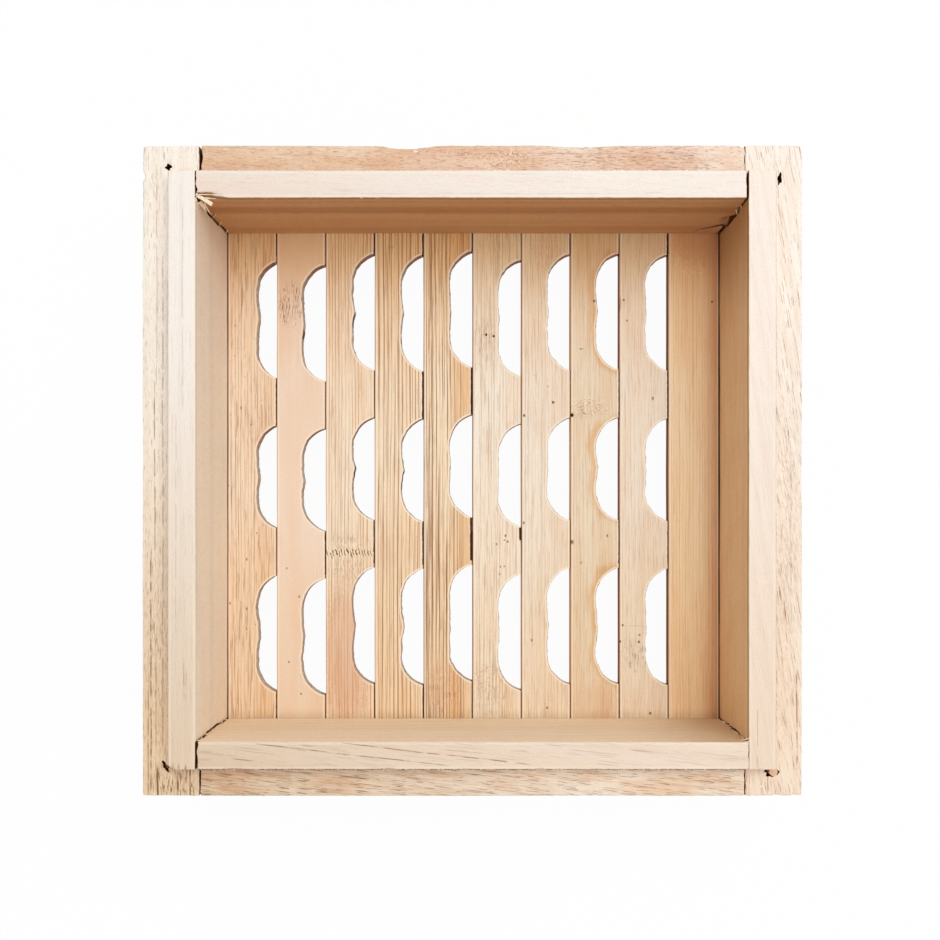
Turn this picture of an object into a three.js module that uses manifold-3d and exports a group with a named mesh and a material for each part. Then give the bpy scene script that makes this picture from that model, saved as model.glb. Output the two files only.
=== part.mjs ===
// Square steamer basket: four finger-jointed wooden boards around a floor of ten bamboo slats.
// Millimetres, +Z up. The origin is on the surface the basket stands on, under its middle.
// The back board is at +Y and the right board at +X.

import * as THREE from 'three';
import { mergeVertices } from 'three/addons/utils/BufferGeometryUtils.js';
import Module from 'manifold-3d';

const wasm = await Module();
wasm.setup();

// Overall size
const outerWidth = 240;
const outerDepth = 236.7;
const wallHeight = 72;
const boardThickness = 20.7;

// Stacking lip on top, and the recess under the walls that takes the lip of the basket below
const lipWidth = 10;
const lipHeight = 6;
const stackClearance = 0.5;

// Corner joints: fingers, of which the side boards own the top one and every other one below it
const topFingerHeight = 15;
const fingerHeight = 22;
const jointGap = 0.2;

// Clearance of a piece let into another one
const fitClearance = 0.3;

// Floor of slats, its height measured to the slat tops
const floorHeight = 22;
const slatCount = 10;
const slatThickness = 5;
const slatGap = 0.35;
const lastSlatExtra = 0.9;
const grooveDepth = 8;

// Steam cuts: D-shaped bites in the right edge of every slat but the last
const biteRows = 3;
const endBiteLength = 47;
const middleBiteLength = 41.5;
const biteRadius = 12.5;
const cuspHeight = 0.8;
const backEndZone = 9;
const frontEndZone = 12.6;

// Hand-cut differences from slat to slat: how far the cuts lie towards the back, and how deep they are
const biteShifts = [-2.1, -3.4, 1.1, 0.6, 2.2, -1.5, 1, 1.1, 0.7];
const biteDepths = [7.9, 9.4, 8.9, 8.9, 9, 9.2, 9.1, 9.3, 9.1];

// Crossbars under the bridges between the rows of cuts
const crossbarWidth = 12;
const crossbarHeight = 8;
const mortiseDepth = 9;

// Corner pins: how far each stands out from the outer corner of the lip, and how deep its top is sunk
const pinRadius = 1.5;
const pinBottom = 11;
const cornerPins = [
  { name: 'corner_pin_back_left', sideX: -1, sideY: 1, outX: 1.3, outY: 2.9, sink: 5 },
  { name: 'corner_pin_back_right', sideX: 1, sideY: 1, outX: 2.5, outY: -1.6, sink: 5 },
  { name: 'corner_pin_front_right', sideX: 1, sideY: -1, outX: -0.6, outY: 2.4, sink: 1.2 },
  { name: 'corner_pin_front_left', sideX: -1, sideY: -1, outX: 2.2, outY: 0.2, sink: 4 },
];

// Facets
const pinSides = 16;
const biteArcSteps = 4;

// Places that follow from the sizes above
const halfWidth = outerWidth / 2;
const halfDepth = outerDepth / 2;
const innerHalfWidth = halfWidth - boardThickness;
const innerHalfDepth = halfDepth - boardThickness;
const lipHalfWidth = innerHalfWidth + lipWidth;
const lipHalfDepth = innerHalfDepth + lipWidth;
const shelfHeight = wallHeight - lipHeight;
const recessHeight = lipHeight + stackClearance;
const slatBottom = floorHeight - slatThickness;
const lowerFingers = Math.round((wallHeight - topFingerHeight) / fingerHeight);
const overcut = 5;

// Materials
const boardWood = new THREE.MeshStandardMaterial({ color: 0xebd6bb, roughness: 0.75, metalness: 0 });
const barWood = new THREE.MeshStandardMaterial({ color: 0xdcc19c, roughness: 0.8, metalness: 0 });
const bamboo = new THREE.MeshStandardMaterial({ color: 0xe3bf98, roughness: 0.6, metalness: 0 });
const pinBamboo = new THREE.MeshStandardMaterial({ color: 0xcfa27c, roughness: 0.7, metalness: 0 });

// Solids for joining and cutting
function toSolid(geometry) {
  const bare = geometry.clone();
  bare.deleteAttribute('normal');
  bare.deleteAttribute('uv');
  const merged = mergeVertices(bare, 1e-4);
  return new wasm.Manifold(new wasm.Mesh({
    numProp: 3,
    vertProperties: new Float32Array(merged.attributes.position.array),
    triVerts: new Uint32Array(merged.index.array),
  }));
}

function toGeometry(solid) {
  const mesh = solid.getMesh();
  const geometry = new THREE.BufferGeometry();
  geometry.setAttribute('position', new THREE.BufferAttribute(new Float32Array(mesh.vertProperties), 3));
  geometry.setIndex(new THREE.BufferAttribute(new Uint32Array(mesh.triVerts), 1));
  geometry.computeVertexNormals();
  return geometry;
}

function block(x0, x1, y0, y1, z0, z1) {
  const geometry = new THREE.BoxGeometry(x1 - x0, y1 - y0, z1 - z0);
  geometry.translate((x0 + x1) / 2, (y0 + y1) / 2, (z0 + z1) / 2);
  return toSolid(geometry);
}

function centredBlock(halfX, halfY, z0, z1) {
  return block(-halfX, halfX, -halfY, halfY, z0, z1);
}

// Cutters that shape the walls all round: the outer rebate on top and the stacking recess below
const rebate = centredBlock(halfWidth + overcut, halfDepth + overcut, shelfHeight, wallHeight + overcut)
  .subtract(centredBlock(lipHalfWidth, lipHalfDepth, shelfHeight - overcut, wallHeight + 2 * overcut));
const recess = centredBlock(
  lipHalfWidth + stackClearance, lipHalfDepth + stackClearance, -overcut, recessHeight,
);

// Corner pins stand in blind holes, outside the corners of the lip
function pinPlace(pin) {
  return [pin.sideX * (lipHalfWidth + pin.outX), pin.sideY * (lipHalfDepth + pin.outY)];
}

function pinCylinder(pin, radius, z0, z1) {
  const geometry = new THREE.CylinderGeometry(radius, radius, z1 - z0, pinSides);
  geometry.rotateX(Math.PI / 2);
  const [x, y] = pinPlace(pin);
  geometry.translate(x, y, (z0 + z1) / 2);
  return geometry;
}

const pinHoles = cornerPins.map((pin) => toSolid(
  pinCylinder(pin, pinRadius + fitClearance, pinBottom - fitClearance, wallHeight + overcut),
));

// Rows of steam cuts along a slat, from the front to the back
const innerDepth = 2 * innerHalfDepth;
const rowPitch = (innerDepth - endBiteLength - backEndZone - frontEndZone) / (biteRows - 1);
const rows = [];
for (let row = 0; row < biteRows; row += 1) {
  const atEnd = row === 0 || row === biteRows - 1;
  rows.push({
    y: -innerHalfDepth + frontEndZone + endBiteLength / 2 + row * rowPitch,
    length: atEnd ? endBiteLength : middleBiteLength,
  });
}

// Each crossbar lies in the middle of the bridge between two rows
const bridges = rows.slice(1).map((row, i) => {
  const bridgeFront = rows[i].y + rows[i].length / 2;
  const bridgeBack = row.y - row.length / 2;
  return (bridgeFront + bridgeBack) / 2;
});

// Corner fingers, from the top one down. A board is notched where the other board's fingers go, and each
// notch is higher than its finger by the joint's gap. The bottom finger takes the height that is left.
function fingerNotches(firstNotch, makeNotch) {
  const joint = wallHeight - topFingerHeight;
  const notches = [];
  for (let finger = firstNotch; finger <= lowerFingers; finger += 2) {
    const top = finger === 0 ? wallHeight + overcut : joint - (finger - 1) * fingerHeight + jointGap / 2;
    const bottom = finger === lowerFingers ? -overcut : joint - finger * fingerHeight - jointGap / 2;
    notches.push(...makeNotch(bottom, top));
  }
  return notches;
}

function cutAll(solid, cutters) {
  return cutters.reduce((left, cutter) => left.subtract(cutter), solid);
}

// Side board: runs the full depth at its fingers, of which the top one is the first
function sideBoard(side) {
  const inner = side * innerHalfWidth;
  const outer = side * halfWidth;
  const x0 = Math.min(inner, outer);
  const x1 = Math.max(inner, outer);
  const notchDepth = innerHalfDepth - jointGap;
  const notches = fingerNotches(1, (low, high) => [1, -1].map((end) => block(
    x0 - overcut, x1 + overcut,
    end > 0 ? notchDepth : -halfDepth - overcut,
    end > 0 ? halfDepth + overcut : -notchDepth,
    low, high,
  )));
  const mortiseEnd = side * (innerHalfWidth + mortiseDepth);
  const mouth = side * (innerHalfWidth - overcut);
  const mortises = bridges.map((y) => block(
    Math.min(mouth, mortiseEnd), Math.max(mouth, mortiseEnd),
    y - crossbarWidth / 2 - fitClearance, y + crossbarWidth / 2 + fitClearance,
    slatBottom - crossbarHeight, slatBottom + fitClearance,
  ));
  const plank = block(x0, x1, -halfDepth, halfDepth, 0, wallHeight);
  return toGeometry(cutAll(plank, [...notches, ...mortises, rebate, recess, ...pinHoles]));
}

// End board, back or front: fits between the side boards and has the other fingers
function endBoard(side) {
  const inner = side * innerHalfDepth;
  const outer = side * halfDepth;
  const y0 = Math.min(inner, outer);
  const y1 = Math.max(inner, outer);
  const shoulder = innerHalfWidth - jointGap;
  const notches = fingerNotches(0, (low, high) => [1, -1].map((end) => block(
    end > 0 ? shoulder : -halfWidth - overcut,
    end > 0 ? halfWidth + overcut : -shoulder,
    y0 - overcut, y1 + overcut,
    low, high,
  )));
  const mouth = side * (innerHalfDepth - overcut);
  const grooveEnd = side * (innerHalfDepth + grooveDepth);
  const groove = block(
    -innerHalfWidth, innerHalfWidth,
    Math.min(mouth, grooveEnd), Math.max(mouth, grooveEnd),
    slatBottom, floorHeight + fitClearance,
  );
  const plank = block(-halfWidth, halfWidth, y0, y1, 0, wallHeight);
  return toGeometry(cutAll(plank, [...notches, groove, rebate, recess, ...pinHoles]));
}

// One D-shaped bite, walked from front to back along the slat's right edge at x = edge. The ends are
// arcs about points outside the edge, and the long wall is two shallow lobes that meet in a cusp.
function addBite(outline, edge, y, length, depth) {
  const centreOut = biteRadius - depth;
  const halfChord = Math.sqrt(biteRadius ** 2 - centreOut ** 2);
  const arcY = length / 2 - halfChord;
  const endAngle = Math.acos(centreOut / biteRadius);
  const lobeRadius = (arcY ** 2 + cuspHeight ** 2) / (2 * cuspHeight);
  const lobeAngle = Math.asin(arcY / lobeRadius);
  const arcX = edge + centreOut;
  const lobeX = edge - depth + lobeRadius;
  outline.lineTo(edge, y - length / 2);
  outline.absarc(arcX, y - arcY, biteRadius, Math.PI + endAngle, Math.PI, true);
  outline.absarc(lobeX, y - arcY, lobeRadius, Math.PI, Math.PI - lobeAngle, true);
  outline.absarc(lobeX, y + arcY, lobeRadius, Math.PI + lobeAngle, Math.PI, true);
  outline.absarc(arcX, y + arcY, biteRadius, Math.PI, Math.PI - endAngle, true);
}

// Floor slat, with its ends housed in the grooves of the back and front boards
function slatGeometry(index) {
  const pitch = (2 * innerHalfWidth - lastSlatExtra - slatGap) / slatCount;
  const isLast = index === slatCount - 1;
  const left = -innerHalfWidth + slatGap + index * pitch;
  const right = left + pitch - slatGap + (isLast ? lastSlatExtra : 0);
  const end = innerHalfDepth + grooveDepth - fitClearance;
  const outline = new THREE.Shape();
  outline.moveTo(left, -end);
  outline.lineTo(right, -end);
  if (!isLast) {
    const shift = biteShifts[index % biteShifts.length];
    const depth = biteDepths[index % biteDepths.length];
    for (const row of rows) addBite(outline, right, row.y + shift, row.length, depth);
  }
  outline.lineTo(right, end);
  outline.lineTo(left, end);
  outline.closePath();
  const geometry = new THREE.ExtrudeGeometry(outline, {
    depth: slatThickness, bevelEnabled: false, curveSegments: biteArcSteps,
  });
  geometry.translate(0, 0, slatBottom);
  return geometry;
}

// Crossbar, let into both side boards, with its top under the slats
function crossbarGeometry(y) {
  const length = 2 * (innerHalfWidth + mortiseDepth - fitClearance);
  const geometry = new THREE.BoxGeometry(length, crossbarWidth, crossbarHeight);
  geometry.translate(0, y, slatBottom - crossbarHeight / 2);
  return geometry;
}

// The basket
const basket = new THREE.Group();

function addPiece(name, geometry, material) {
  const mesh = new THREE.Mesh(geometry, material);
  mesh.name = name;
  basket.add(mesh);
}

addPiece('left_board', sideBoard(-1), boardWood);
addPiece('right_board', sideBoard(1), boardWood);
addPiece('back_board', endBoard(1), boardWood);
addPiece('front_board', endBoard(-1), boardWood);

for (let index = 0; index < slatCount; index += 1) {
  addPiece(`slat_${String(index + 1).padStart(2, '0')}`, slatGeometry(index), bamboo);
}

bridges.forEach((y, i) => {
  const place = i === 0 ? 'front' : 'back';
  const name = bridges.length === 2 ? `crossbar_${place}` : `crossbar_${i + 1}`;
  addPiece(name, crossbarGeometry(y), barWood);
});

for (const pin of cornerPins) {
  addPiece(pin.name, pinCylinder(pin, pinRadius, pinBottom, shelfHeight - pin.sink), pinBamboo);
}

export default basket;
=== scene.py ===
"""Square wooden steamer basket: finger-jointed boards around a floor of bamboo slats with steam cuts."""
import itertools
import math
from functools import partialmethod
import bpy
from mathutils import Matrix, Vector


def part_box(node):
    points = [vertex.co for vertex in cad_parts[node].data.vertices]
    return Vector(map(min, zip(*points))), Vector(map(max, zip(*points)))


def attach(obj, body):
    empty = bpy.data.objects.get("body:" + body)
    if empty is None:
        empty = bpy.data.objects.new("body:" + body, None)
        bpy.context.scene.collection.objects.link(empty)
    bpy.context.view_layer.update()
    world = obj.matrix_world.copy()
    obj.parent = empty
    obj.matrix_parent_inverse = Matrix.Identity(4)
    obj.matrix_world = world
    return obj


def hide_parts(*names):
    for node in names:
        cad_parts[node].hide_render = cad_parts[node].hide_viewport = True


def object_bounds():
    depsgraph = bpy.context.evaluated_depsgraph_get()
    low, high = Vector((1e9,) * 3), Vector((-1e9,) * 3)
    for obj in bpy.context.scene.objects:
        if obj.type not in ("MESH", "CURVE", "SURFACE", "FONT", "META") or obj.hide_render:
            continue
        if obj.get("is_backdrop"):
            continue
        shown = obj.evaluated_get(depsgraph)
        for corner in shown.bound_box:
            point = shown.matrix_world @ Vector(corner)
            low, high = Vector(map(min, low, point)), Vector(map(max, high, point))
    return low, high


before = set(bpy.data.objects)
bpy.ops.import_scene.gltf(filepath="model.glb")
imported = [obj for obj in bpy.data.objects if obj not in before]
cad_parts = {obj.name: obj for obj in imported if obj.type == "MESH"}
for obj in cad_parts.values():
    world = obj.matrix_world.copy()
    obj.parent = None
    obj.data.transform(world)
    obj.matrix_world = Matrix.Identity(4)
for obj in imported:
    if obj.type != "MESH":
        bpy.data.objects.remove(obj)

from inspect import signature

import bpy
import numpy as np
from bpy.props import CollectionProperty, FloatProperty, FloatVectorProperty, PointerProperty
from mathutils import Vector

bl_info = {
    "name": "Steamer basket",
    "version": (1, 0, 0),
    "blender": (4, 5, 0),
    "location": "3D View > Sidebar > Basket",
    "description": "Builds a square wooden steamer basket with a floor of bamboo slats",
    "category": "Add Mesh",
}

MM = 0.001

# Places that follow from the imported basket
CAD_LOW, CAD_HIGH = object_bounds()
HALF_WIDTH = CAD_HIGH.x
HALF_DEPTH = CAD_HIGH.y
WALL_TOP = CAD_HIGH.z
INNER_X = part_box("right_board")[0].x
INNER_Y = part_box("back_board")[0].y
SLAT_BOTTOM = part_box("slat_01")[0].z
SLAT_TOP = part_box("slat_01")[1].z
SLAT_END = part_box("slat_01")[1].y
SLAT_COUNT = sum(name.startswith("slat_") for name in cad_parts)
SIDES = {"left": -1, "right": 1, "back": 1, "front": -1}


def srgb(red, green, blue):
    """A colour given as it is seen on screen, from 0 to 255, as the linear values that shaders take."""
    def linear(value):
        share = value / 255
        return share / 12.92 if share <= 0.04045 else ((share + 0.055) / 1.055) ** 2.4
    return (linear(red), linear(green), linear(blue))


def length(name, default, description):
    return FloatProperty(name=name, description=description, default=default, unit="LENGTH", min=0)


def share(name, default, description):
    return FloatProperty(name=name, description=description, default=default, subtype="FACTOR", min=0, max=4)


def number(name, default, description):
    return FloatProperty(name=name, description=description, default=default)


def colour(name, default, description):
    return FloatVectorProperty(
        name=name, description=description, default=default, subtype="COLOR", size=3, min=0, max=1,
    )


class BasketSizes(bpy.types.PropertyGroup):
    """Sizes of the joinery and of the marks that tools left on it."""

    lip_width: length("Lip width", 10 * MM, "Width of the raised lip on top of the walls")
    lip_height: length("Lip height", 6 * MM, "Height of the lip above the shelf around it")
    stack_clearance: length("Stack clearance", 0.5 * MM, "Room between the lip and the recess above it")
    top_finger: length("Top finger", 15 * MM, "Height of the topmost finger of the corner joints")
    finger_height: length("Finger height", 22 * MM, "Height of the fingers below the topmost one")
    joint_gap: length("Joint gap", 0.2 * MM, "Least gap between two glued fingers")
    groove_depth: length("Groove depth", 8 * MM, "Depth of the groove that houses the slat ends")
    mortise_depth: length("Mortise depth", 9 * MM, "Depth of the holes that carry the crossbars")
    fit_clearance: length("Fit clearance", 0.3 * MM, "Room around the slats and crossbars in the boards")
    arris_width: length("Arris width", 0.35 * MM, "How far the arrises of the boards are rounded")
    fuzz_height: length("Fuzz height", 0.17 * MM, "Height of the torn fibres along the arrises")
    saw_ripple: length("Saw ripple", 0.05 * MM, "Height of the ripples on the sawn faces")
    board_warp: length("Board warp", 0.12 * MM, "How far the boards wander from straight")
    cut_radius: length("Cut radius", 12.5 * MM, "Radius of the ends of a steam cut")
    end_cut_length: length("End cut length", 47 * MM, "Length of the steam cuts in the first and last row")
    middle_cut_length: length("Middle cut length", 41.5 * MM, "Length of the steam cuts in the middle row")
    back_zone: length("Back zone", 9 * MM, "Uncut length at the back end of a slat")
    front_zone: length("Front zone", 12.6 * MM, "Uncut length at the front end of a slat")
    cut_burr: length("Cut burr", 0.16 * MM, "Height of the torn fibres on the walls of the steam cuts")


class BoardLook(bpy.types.PropertyGroup):
    """Colours and grain of one board, whose far end is the back or right one."""

    shelf_far: colour("Shelf, far end", srgb(240, 220, 200), "Sawn shelf colour at the far end")
    shelf_near: colour("Shelf, near end", srgb(225, 200, 175), "Sawn shelf colour at the near end")
    lip_far: colour("Lip, far end", srgb(250, 240, 230), "Planed lip colour at the far end")
    lip_near: colour("Lip, near end", srgb(240, 225, 210), "Planed lip colour at the near end")
    inside: colour("Inside", srgb(225, 195, 170), "Colour of the inner face")
    line: colour("Dark marks", srgb(170, 125, 85), "Colour of the torn fibres and growth lines")
    dashes: share("Torn fibres", 0.5, "How strongly torn fibres show on sawn faces at the far end")
    dashes_near: share("Torn fibres near", 0.5, "How strongly torn fibres show at the near end")
    dash_level: number("Rarity", 0.66, "How rare the torn fibres are, from 0.5 for many to 0.75 for few")
    dash_width: number("Dash width", 0.25, "Usual width of the torn fibres in millimetres")
    dash_length: number("Dash length", 4.0, "Usual length of the torn fibres in millimetres")
    pale_dashes: share("Pale fibres", 0.4, "How strongly the pale fibres show beside the dark ones")
    streaks: share("Streaks", 0.3, "How strongly the soft streaks show on sawn faces")
    clouds: share("Clouds", 0.2, "How strongly the soft patches show on sawn faces")
    lip_lines: share("Lip lines", 0.2, "How strongly the long fibres show on the lip")
    bands: share("Bands", 0.2, "How strongly the long soft bands show on the inner face")
    # Outer edge: a brown line at the lip's outer arris, partly torn fibres and partly painted shadow below
    # the lip
    outer_edge: share("Outer edge", 0.5, "How strongly the lip's outer edge shows as a brown line")
    # Inner edge: painted shade just below the lip's inner arris
    inner_edge: share("Inner edge", 0.3, "How strongly the lip's inner edge shows as a brown line")
    # Corner shade is painted shade: the inner face darkens towards the back corner, and on the front board
    # towards its right end
    shade: share("Corner shade", 0.0, "How much the inner face darkens towards the back corner")
    shade_reach: number("Shade reach", 40.0, "How far that shade reaches from the back in millimetres")
    slant: number("Slant", 0.01, "How far the grain leaves the board's length, as a slope")
    ring_width: number("Ring width", 4.5, "Distance between growth lines in millimetres")
    pith_side: number("Pith side", 150, "Sideways place of the tree's heart in millimetres")
    pith_height: number("Pith height", 20, "Height of the tree's heart in millimetres")


# Painted shade: the brown of a slat's side faces deep in a gap
SIDE_BROWN = srgb(136, 64, 16)


class SlatLook(bpy.types.PropertyGroup):
    """Colours and marks of one bamboo slat."""

    skin: colour("Bamboo", srgb(230, 200, 170), "Main colour of the slat")
    line: colour("Fibre lines", srgb(190, 135, 85), "Colour of the fibre lines and stripes")
    lines: share("Long lines", 0.5, "How strongly the long even lines show")
    fine: share("Fine lines", 0.3, "How strongly the finer broken lines show")
    spacing: number("Line spacing", 1.3, "Usual distance between two long lines in millimetres")
    stripes: share("Stripes", 0.3, "How strongly the broader stripes show")
    threads: share("Threads", 0.3, "How strongly the thin sharp lines beside the stripes show")
    dots: share("Pin dots", 0.1, "Share of the places that hold a dark pin dot")
    amber: share("Amber edge", 0.3, "How strongly the part right of the cuts' depth is stained amber")
    # Gaps: painted shade on the side faces that show in the gaps
    gap: colour("Gaps", SIDE_BROWN, "Colour of the side faces, which show in the gaps beside the slat")
    rim: share("Amber rim", 0.0, "How strongly the wood along the steam cuts is stained amber")
    # Edge shade is a painted shadow of the right wall over the slat's right edge
    shade: share("Edge shade", 0.0, "How strongly the right edge darkens over its last millimetres")
    shift: number("Cut shift", 0, "How far this slat's cuts lie towards the back in millimetres")
    depth: number("Cut depth", 9, "How deep this slat's cuts are in millimetres")
    cusp: number("Cusp height", 0.8, "Height of the cusp in the middle of a cut in millimetres")


class StageLook(bpy.types.PropertyGroup):
    """Floor, lamps and camera."""

    floor: colour("Floor", (0.94, 0.94, 0.94), "Colour of the floor")
    floor_glow: share("Floor whiteness", 0.96, "How far the floor is lifted to plain white in the picture")
    key_power: FloatProperty(name="Key lamp", description="Power of the lamp", default=5.2, unit="POWER")
    key_size: length("Key lamp size", 0.8, "Width of the large round lamp")
    sky_share: share("Sky strength", 0.745, "Strength of the even light from all round")
    camera_height: length("Camera height", 476.5 * MM, "Height of the camera above the floor")
    camera_lens: FloatProperty(name="Lens", description="Focal length", default=43.18, unit="CAMERA")


class Basket(bpy.types.PropertyGroup):
    """Everything that the operators read."""

    sizes: PointerProperty(type=BasketSizes)
    boards: CollectionProperty(type=BoardLook)
    slats: CollectionProperty(type=SlatLook)
    stage: PointerProperty(type=StageLook)


# Looks of the boards, each value for the left, right, back and front board in turn
BOARDS = ("left_board", "right_board", "back_board", "front_board")
BOARD_LOOKS = {
    "shelf_far": [srgb(255, 250, 240), srgb(255, 249, 240), srgb(247, 231, 216), srgb(251, 237, 219)],
    "shelf_near": [srgb(240, 215, 181), srgb(252, 235, 215), srgb(233, 204, 174), srgb(231, 207, 178)],
    "lip_far": [srgb(250, 244, 237), srgb(250, 240, 231), srgb(247, 239, 231), srgb(243, 226, 208)],
    "lip_near": [srgb(232, 211, 185), srgb(243, 223, 202), srgb(243, 230, 218), srgb(229, 208, 184)],
    # The right and back boards' inner colours are darker and more orange: partly the wood, partly painted
    # shade of faces turned away from the key lamp
    "inside": [srgb(255, 246, 229), srgb(233, 200, 157), srgb(203, 158, 114), srgb(253, 238, 212)],
    "line": [srgb(146, 102, 68), srgb(184, 132, 94), srgb(176, 116, 84), srgb(150, 112, 80)],
    "dashes": [0.45, 0.8, 0.85, 0.8],
    "dashes_near": [0.6, 0.9, 0.2, 1.0],
    "dash_level": [0.66, 0.655, 0.65, 0.63],
    "dash_width": [0.2, 0.21, 0.2, 0.24],
    "dash_length": [4.5, 8.0, 3.0, 7.0],
    "pale_dashes": [0.4, 0.5, 0.35, 0.35],
    "streaks": [0.12, 0.24, 0.25, 0.5],
    "clouds": [0.08, 0.1, 0.55, 0.65],
    "lip_lines": [0.15, 0.12, 0.12, 0.3],
    "bands": [0.0, 0.15, 0.2, 0.06],
    "outer_edge": [0.3, 0.22, 0.35, 0.95],
    "inner_edge": [0.15, 0.55, 0.5, 0.0],
    "shade": [0.22, 1.0, 0.0, 0.7],
    "shade_reach": [28, 65, 40, 56],
    "slant": [0.004, 0.16, 0.05, 0.115],
    "ring_width": [4.6, 5.2, 9, 5.5],
    "pith_side": [170, -150, 160, -120],
    "pith_height": [30, 60, -60, 10],
}

# Looks of the slats, each value from the left slat to the right one
SLAT_LOOKS = {
    "skin": [
        srgb(254, 239, 217), srgb(249, 233, 216), srgb(255, 244, 224), srgb(254, 239, 212),
        srgb(254, 237, 207), srgb(254, 248, 233), srgb(251, 243, 227), srgb(243, 231, 207),
        srgb(248, 240, 224), srgb(255, 234, 197),
    ],
    "line": [
        srgb(170, 118, 76), srgb(222, 180, 142), srgb(196, 149, 106), srgb(178, 130, 90),
        srgb(146, 94, 57), srgb(184, 146, 110), srgb(188, 150, 114), srgb(196, 146, 100),
        srgb(194, 154, 122), srgb(208, 150, 96),
    ],
    "lines": [0.38, 0.05, 0.85, 1.08, 1.08, 0.4, 0.3, 0.25, 0.2, 0.3],
    "fine": [0.95, 0.1, 0.7, 0.5, 0.6, 0.7, 0.6, 0.5, 0.6, 0.38],
    "spacing": [1.3, 1.3, 1.3, 1.6, 1.4, 1.3, 1.3, 1.3, 1.3, 1.3],
    "stripes": [0.05, 0.08, 0.08, 0.05, 0.08, 0.08, 0.08, 0.15, 0.06, 0.1],
    "threads": [0.3, 0.0, 0.3, 0.7, 0.9, 0.3, 0.15, 0.1, 0.08, 0.1],
    "dots": [0.9, 0.03, 0.05, 0.02, 0.02, 0.15, 0.15, 0.1, 0.12, 0.01],
    "amber": [0.4, 0.05, 0.2, 0.25, 0.75, 0.12, 0.1, 0.12, 0.08, 0.0],
    "gap": [
        srgb(184, 108, 54), srgb(196, 122, 66), SIDE_BROWN, SIDE_BROWN, SIDE_BROWN, SIDE_BROWN,
        srgb(204, 138, 84), srgb(224, 166, 112), SIDE_BROWN, SIDE_BROWN,
    ],
    "rim": [0, 0, 0, 0, 0, 0, 0, 0.6, 0, 0],
    "shade": [0, 0, 0, 0, 0, 0, 0, 0, 0, 0.6],
    "shift": [-2.1, -3.4, 1.1, 0.6, 2.2, -1.5, 1.0, 1.1, 0.7, 0],
    "depth": [7.9, 9.4, 8.9, 8.9, 9.0, 9.2, 9.1, 9.3, 9.1, 9],
    "cusp": [1.1, 0.7, 1.1, 1.1, 0.3, 0.35, 0.4, 1.0, 0.4, 0.8],
}

# Slopes of the long lines, where they leave the board's length
LINE_SLOPES = {"front_board": 0.115}

# Single long lines in the boards: place across, start and stop along, width in millimetres, and strength
LONG_LINES = {
    "left_board": [
        (-115.6, -34, 34, 0.4, 0.75), (-117.0, -118, -30, 0.45, 0.9), (-112.7, -110, 80, 0.6, 0.45),
        (-114.9, 30, 112, 0.35, 0.4), (-115.2, -118, -58, 0.35, 0.6), (-109.6, -100, 104, 0.5, 0.5),
        (-103.4, -84, -66, 0.3, 0.6), (-102.6, -84, -70, 0.3, 0.45), (-106.3, -60, 25, 0.3, 0.3),
        (-103.9, 20, 96, 0.5, 0.2), (-117.9, -120, -70, 0.5, 0.6), (-114.6, -122, -106, 0.7, 1.0),
        (-107.4, -122, -104, 0.7, 1.0), (-106.3, -122, -106, 0.4, 0.7), (-105.2, -122, -104, 0.6, 0.9),
        (-104.1, -122, -106, 0.45, 0.6), (-102.7, -122, -104, 0.6, 0.9), (-101.5, -122, -106, 0.4, 0.7),
    ],
    "right_board": [
        (118.1, -112, -72, 0.6, 0.8), (109.5, -100, 104, 0.35, 0.4), (102.4, -108, -84, 0.3, 0.45),
        (114.0, 108, 118, 0.3, 0.3), (116.0, -60, 10, 0.3, 0.35), (105.8, -120, -110, 0.35, 0.6),
        (107.5, -119, -109, 0.4, 0.7), (100.1, -119, -108, 0.4, 0.7), (108.9, -119, -110, 0.35, 0.5),
        (101.0, -120, -109, 0.3, 0.5),
    ],
    "back_board": [
        (99.2, -60, 70, 0.3, 0.2), (115.4, -10, 60, 0.5, 0.4),
    ],
    "front_board": [
        (-107.2, -82, -20, 0.4, 0.8), (-103.3, -53, 22, 0.4, 0.8), (-113.5, -88, -77, 0.4, 0.7),
        (-107.0, -23, -7, 0.35, 0.6), (-105.8, -63, -54, 0.35, 0.7), (-98.6, 15, 27, 0.3, 0.5),
        (-93.9, 55, 71, 0.35, 0.5), (-101.4, -12, 9, 0.3, 0.35), (-96.2, 34, 52, 0.3, 0.35),
        (-112.4, -99, -83, 0.3, 0.4), (-116.6, -50, -36, 0.5, 0.8), (-119.8, -84, -64, 0.5, 0.6),
    ],
}

# Darker bands along the inner faces: height, half width in millimetres, and strength
INNER_BANDS = {
    "back_board": [(56, 6.5, 0.5), (66, 2.5, 0.15), (30, 5, 0.12)],
    "front_board": [(44, 9, 0.06)],
    "left_board": [(48, 5, 0.08)],
    "right_board": [(64, 4, 0.06)],
}

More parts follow.
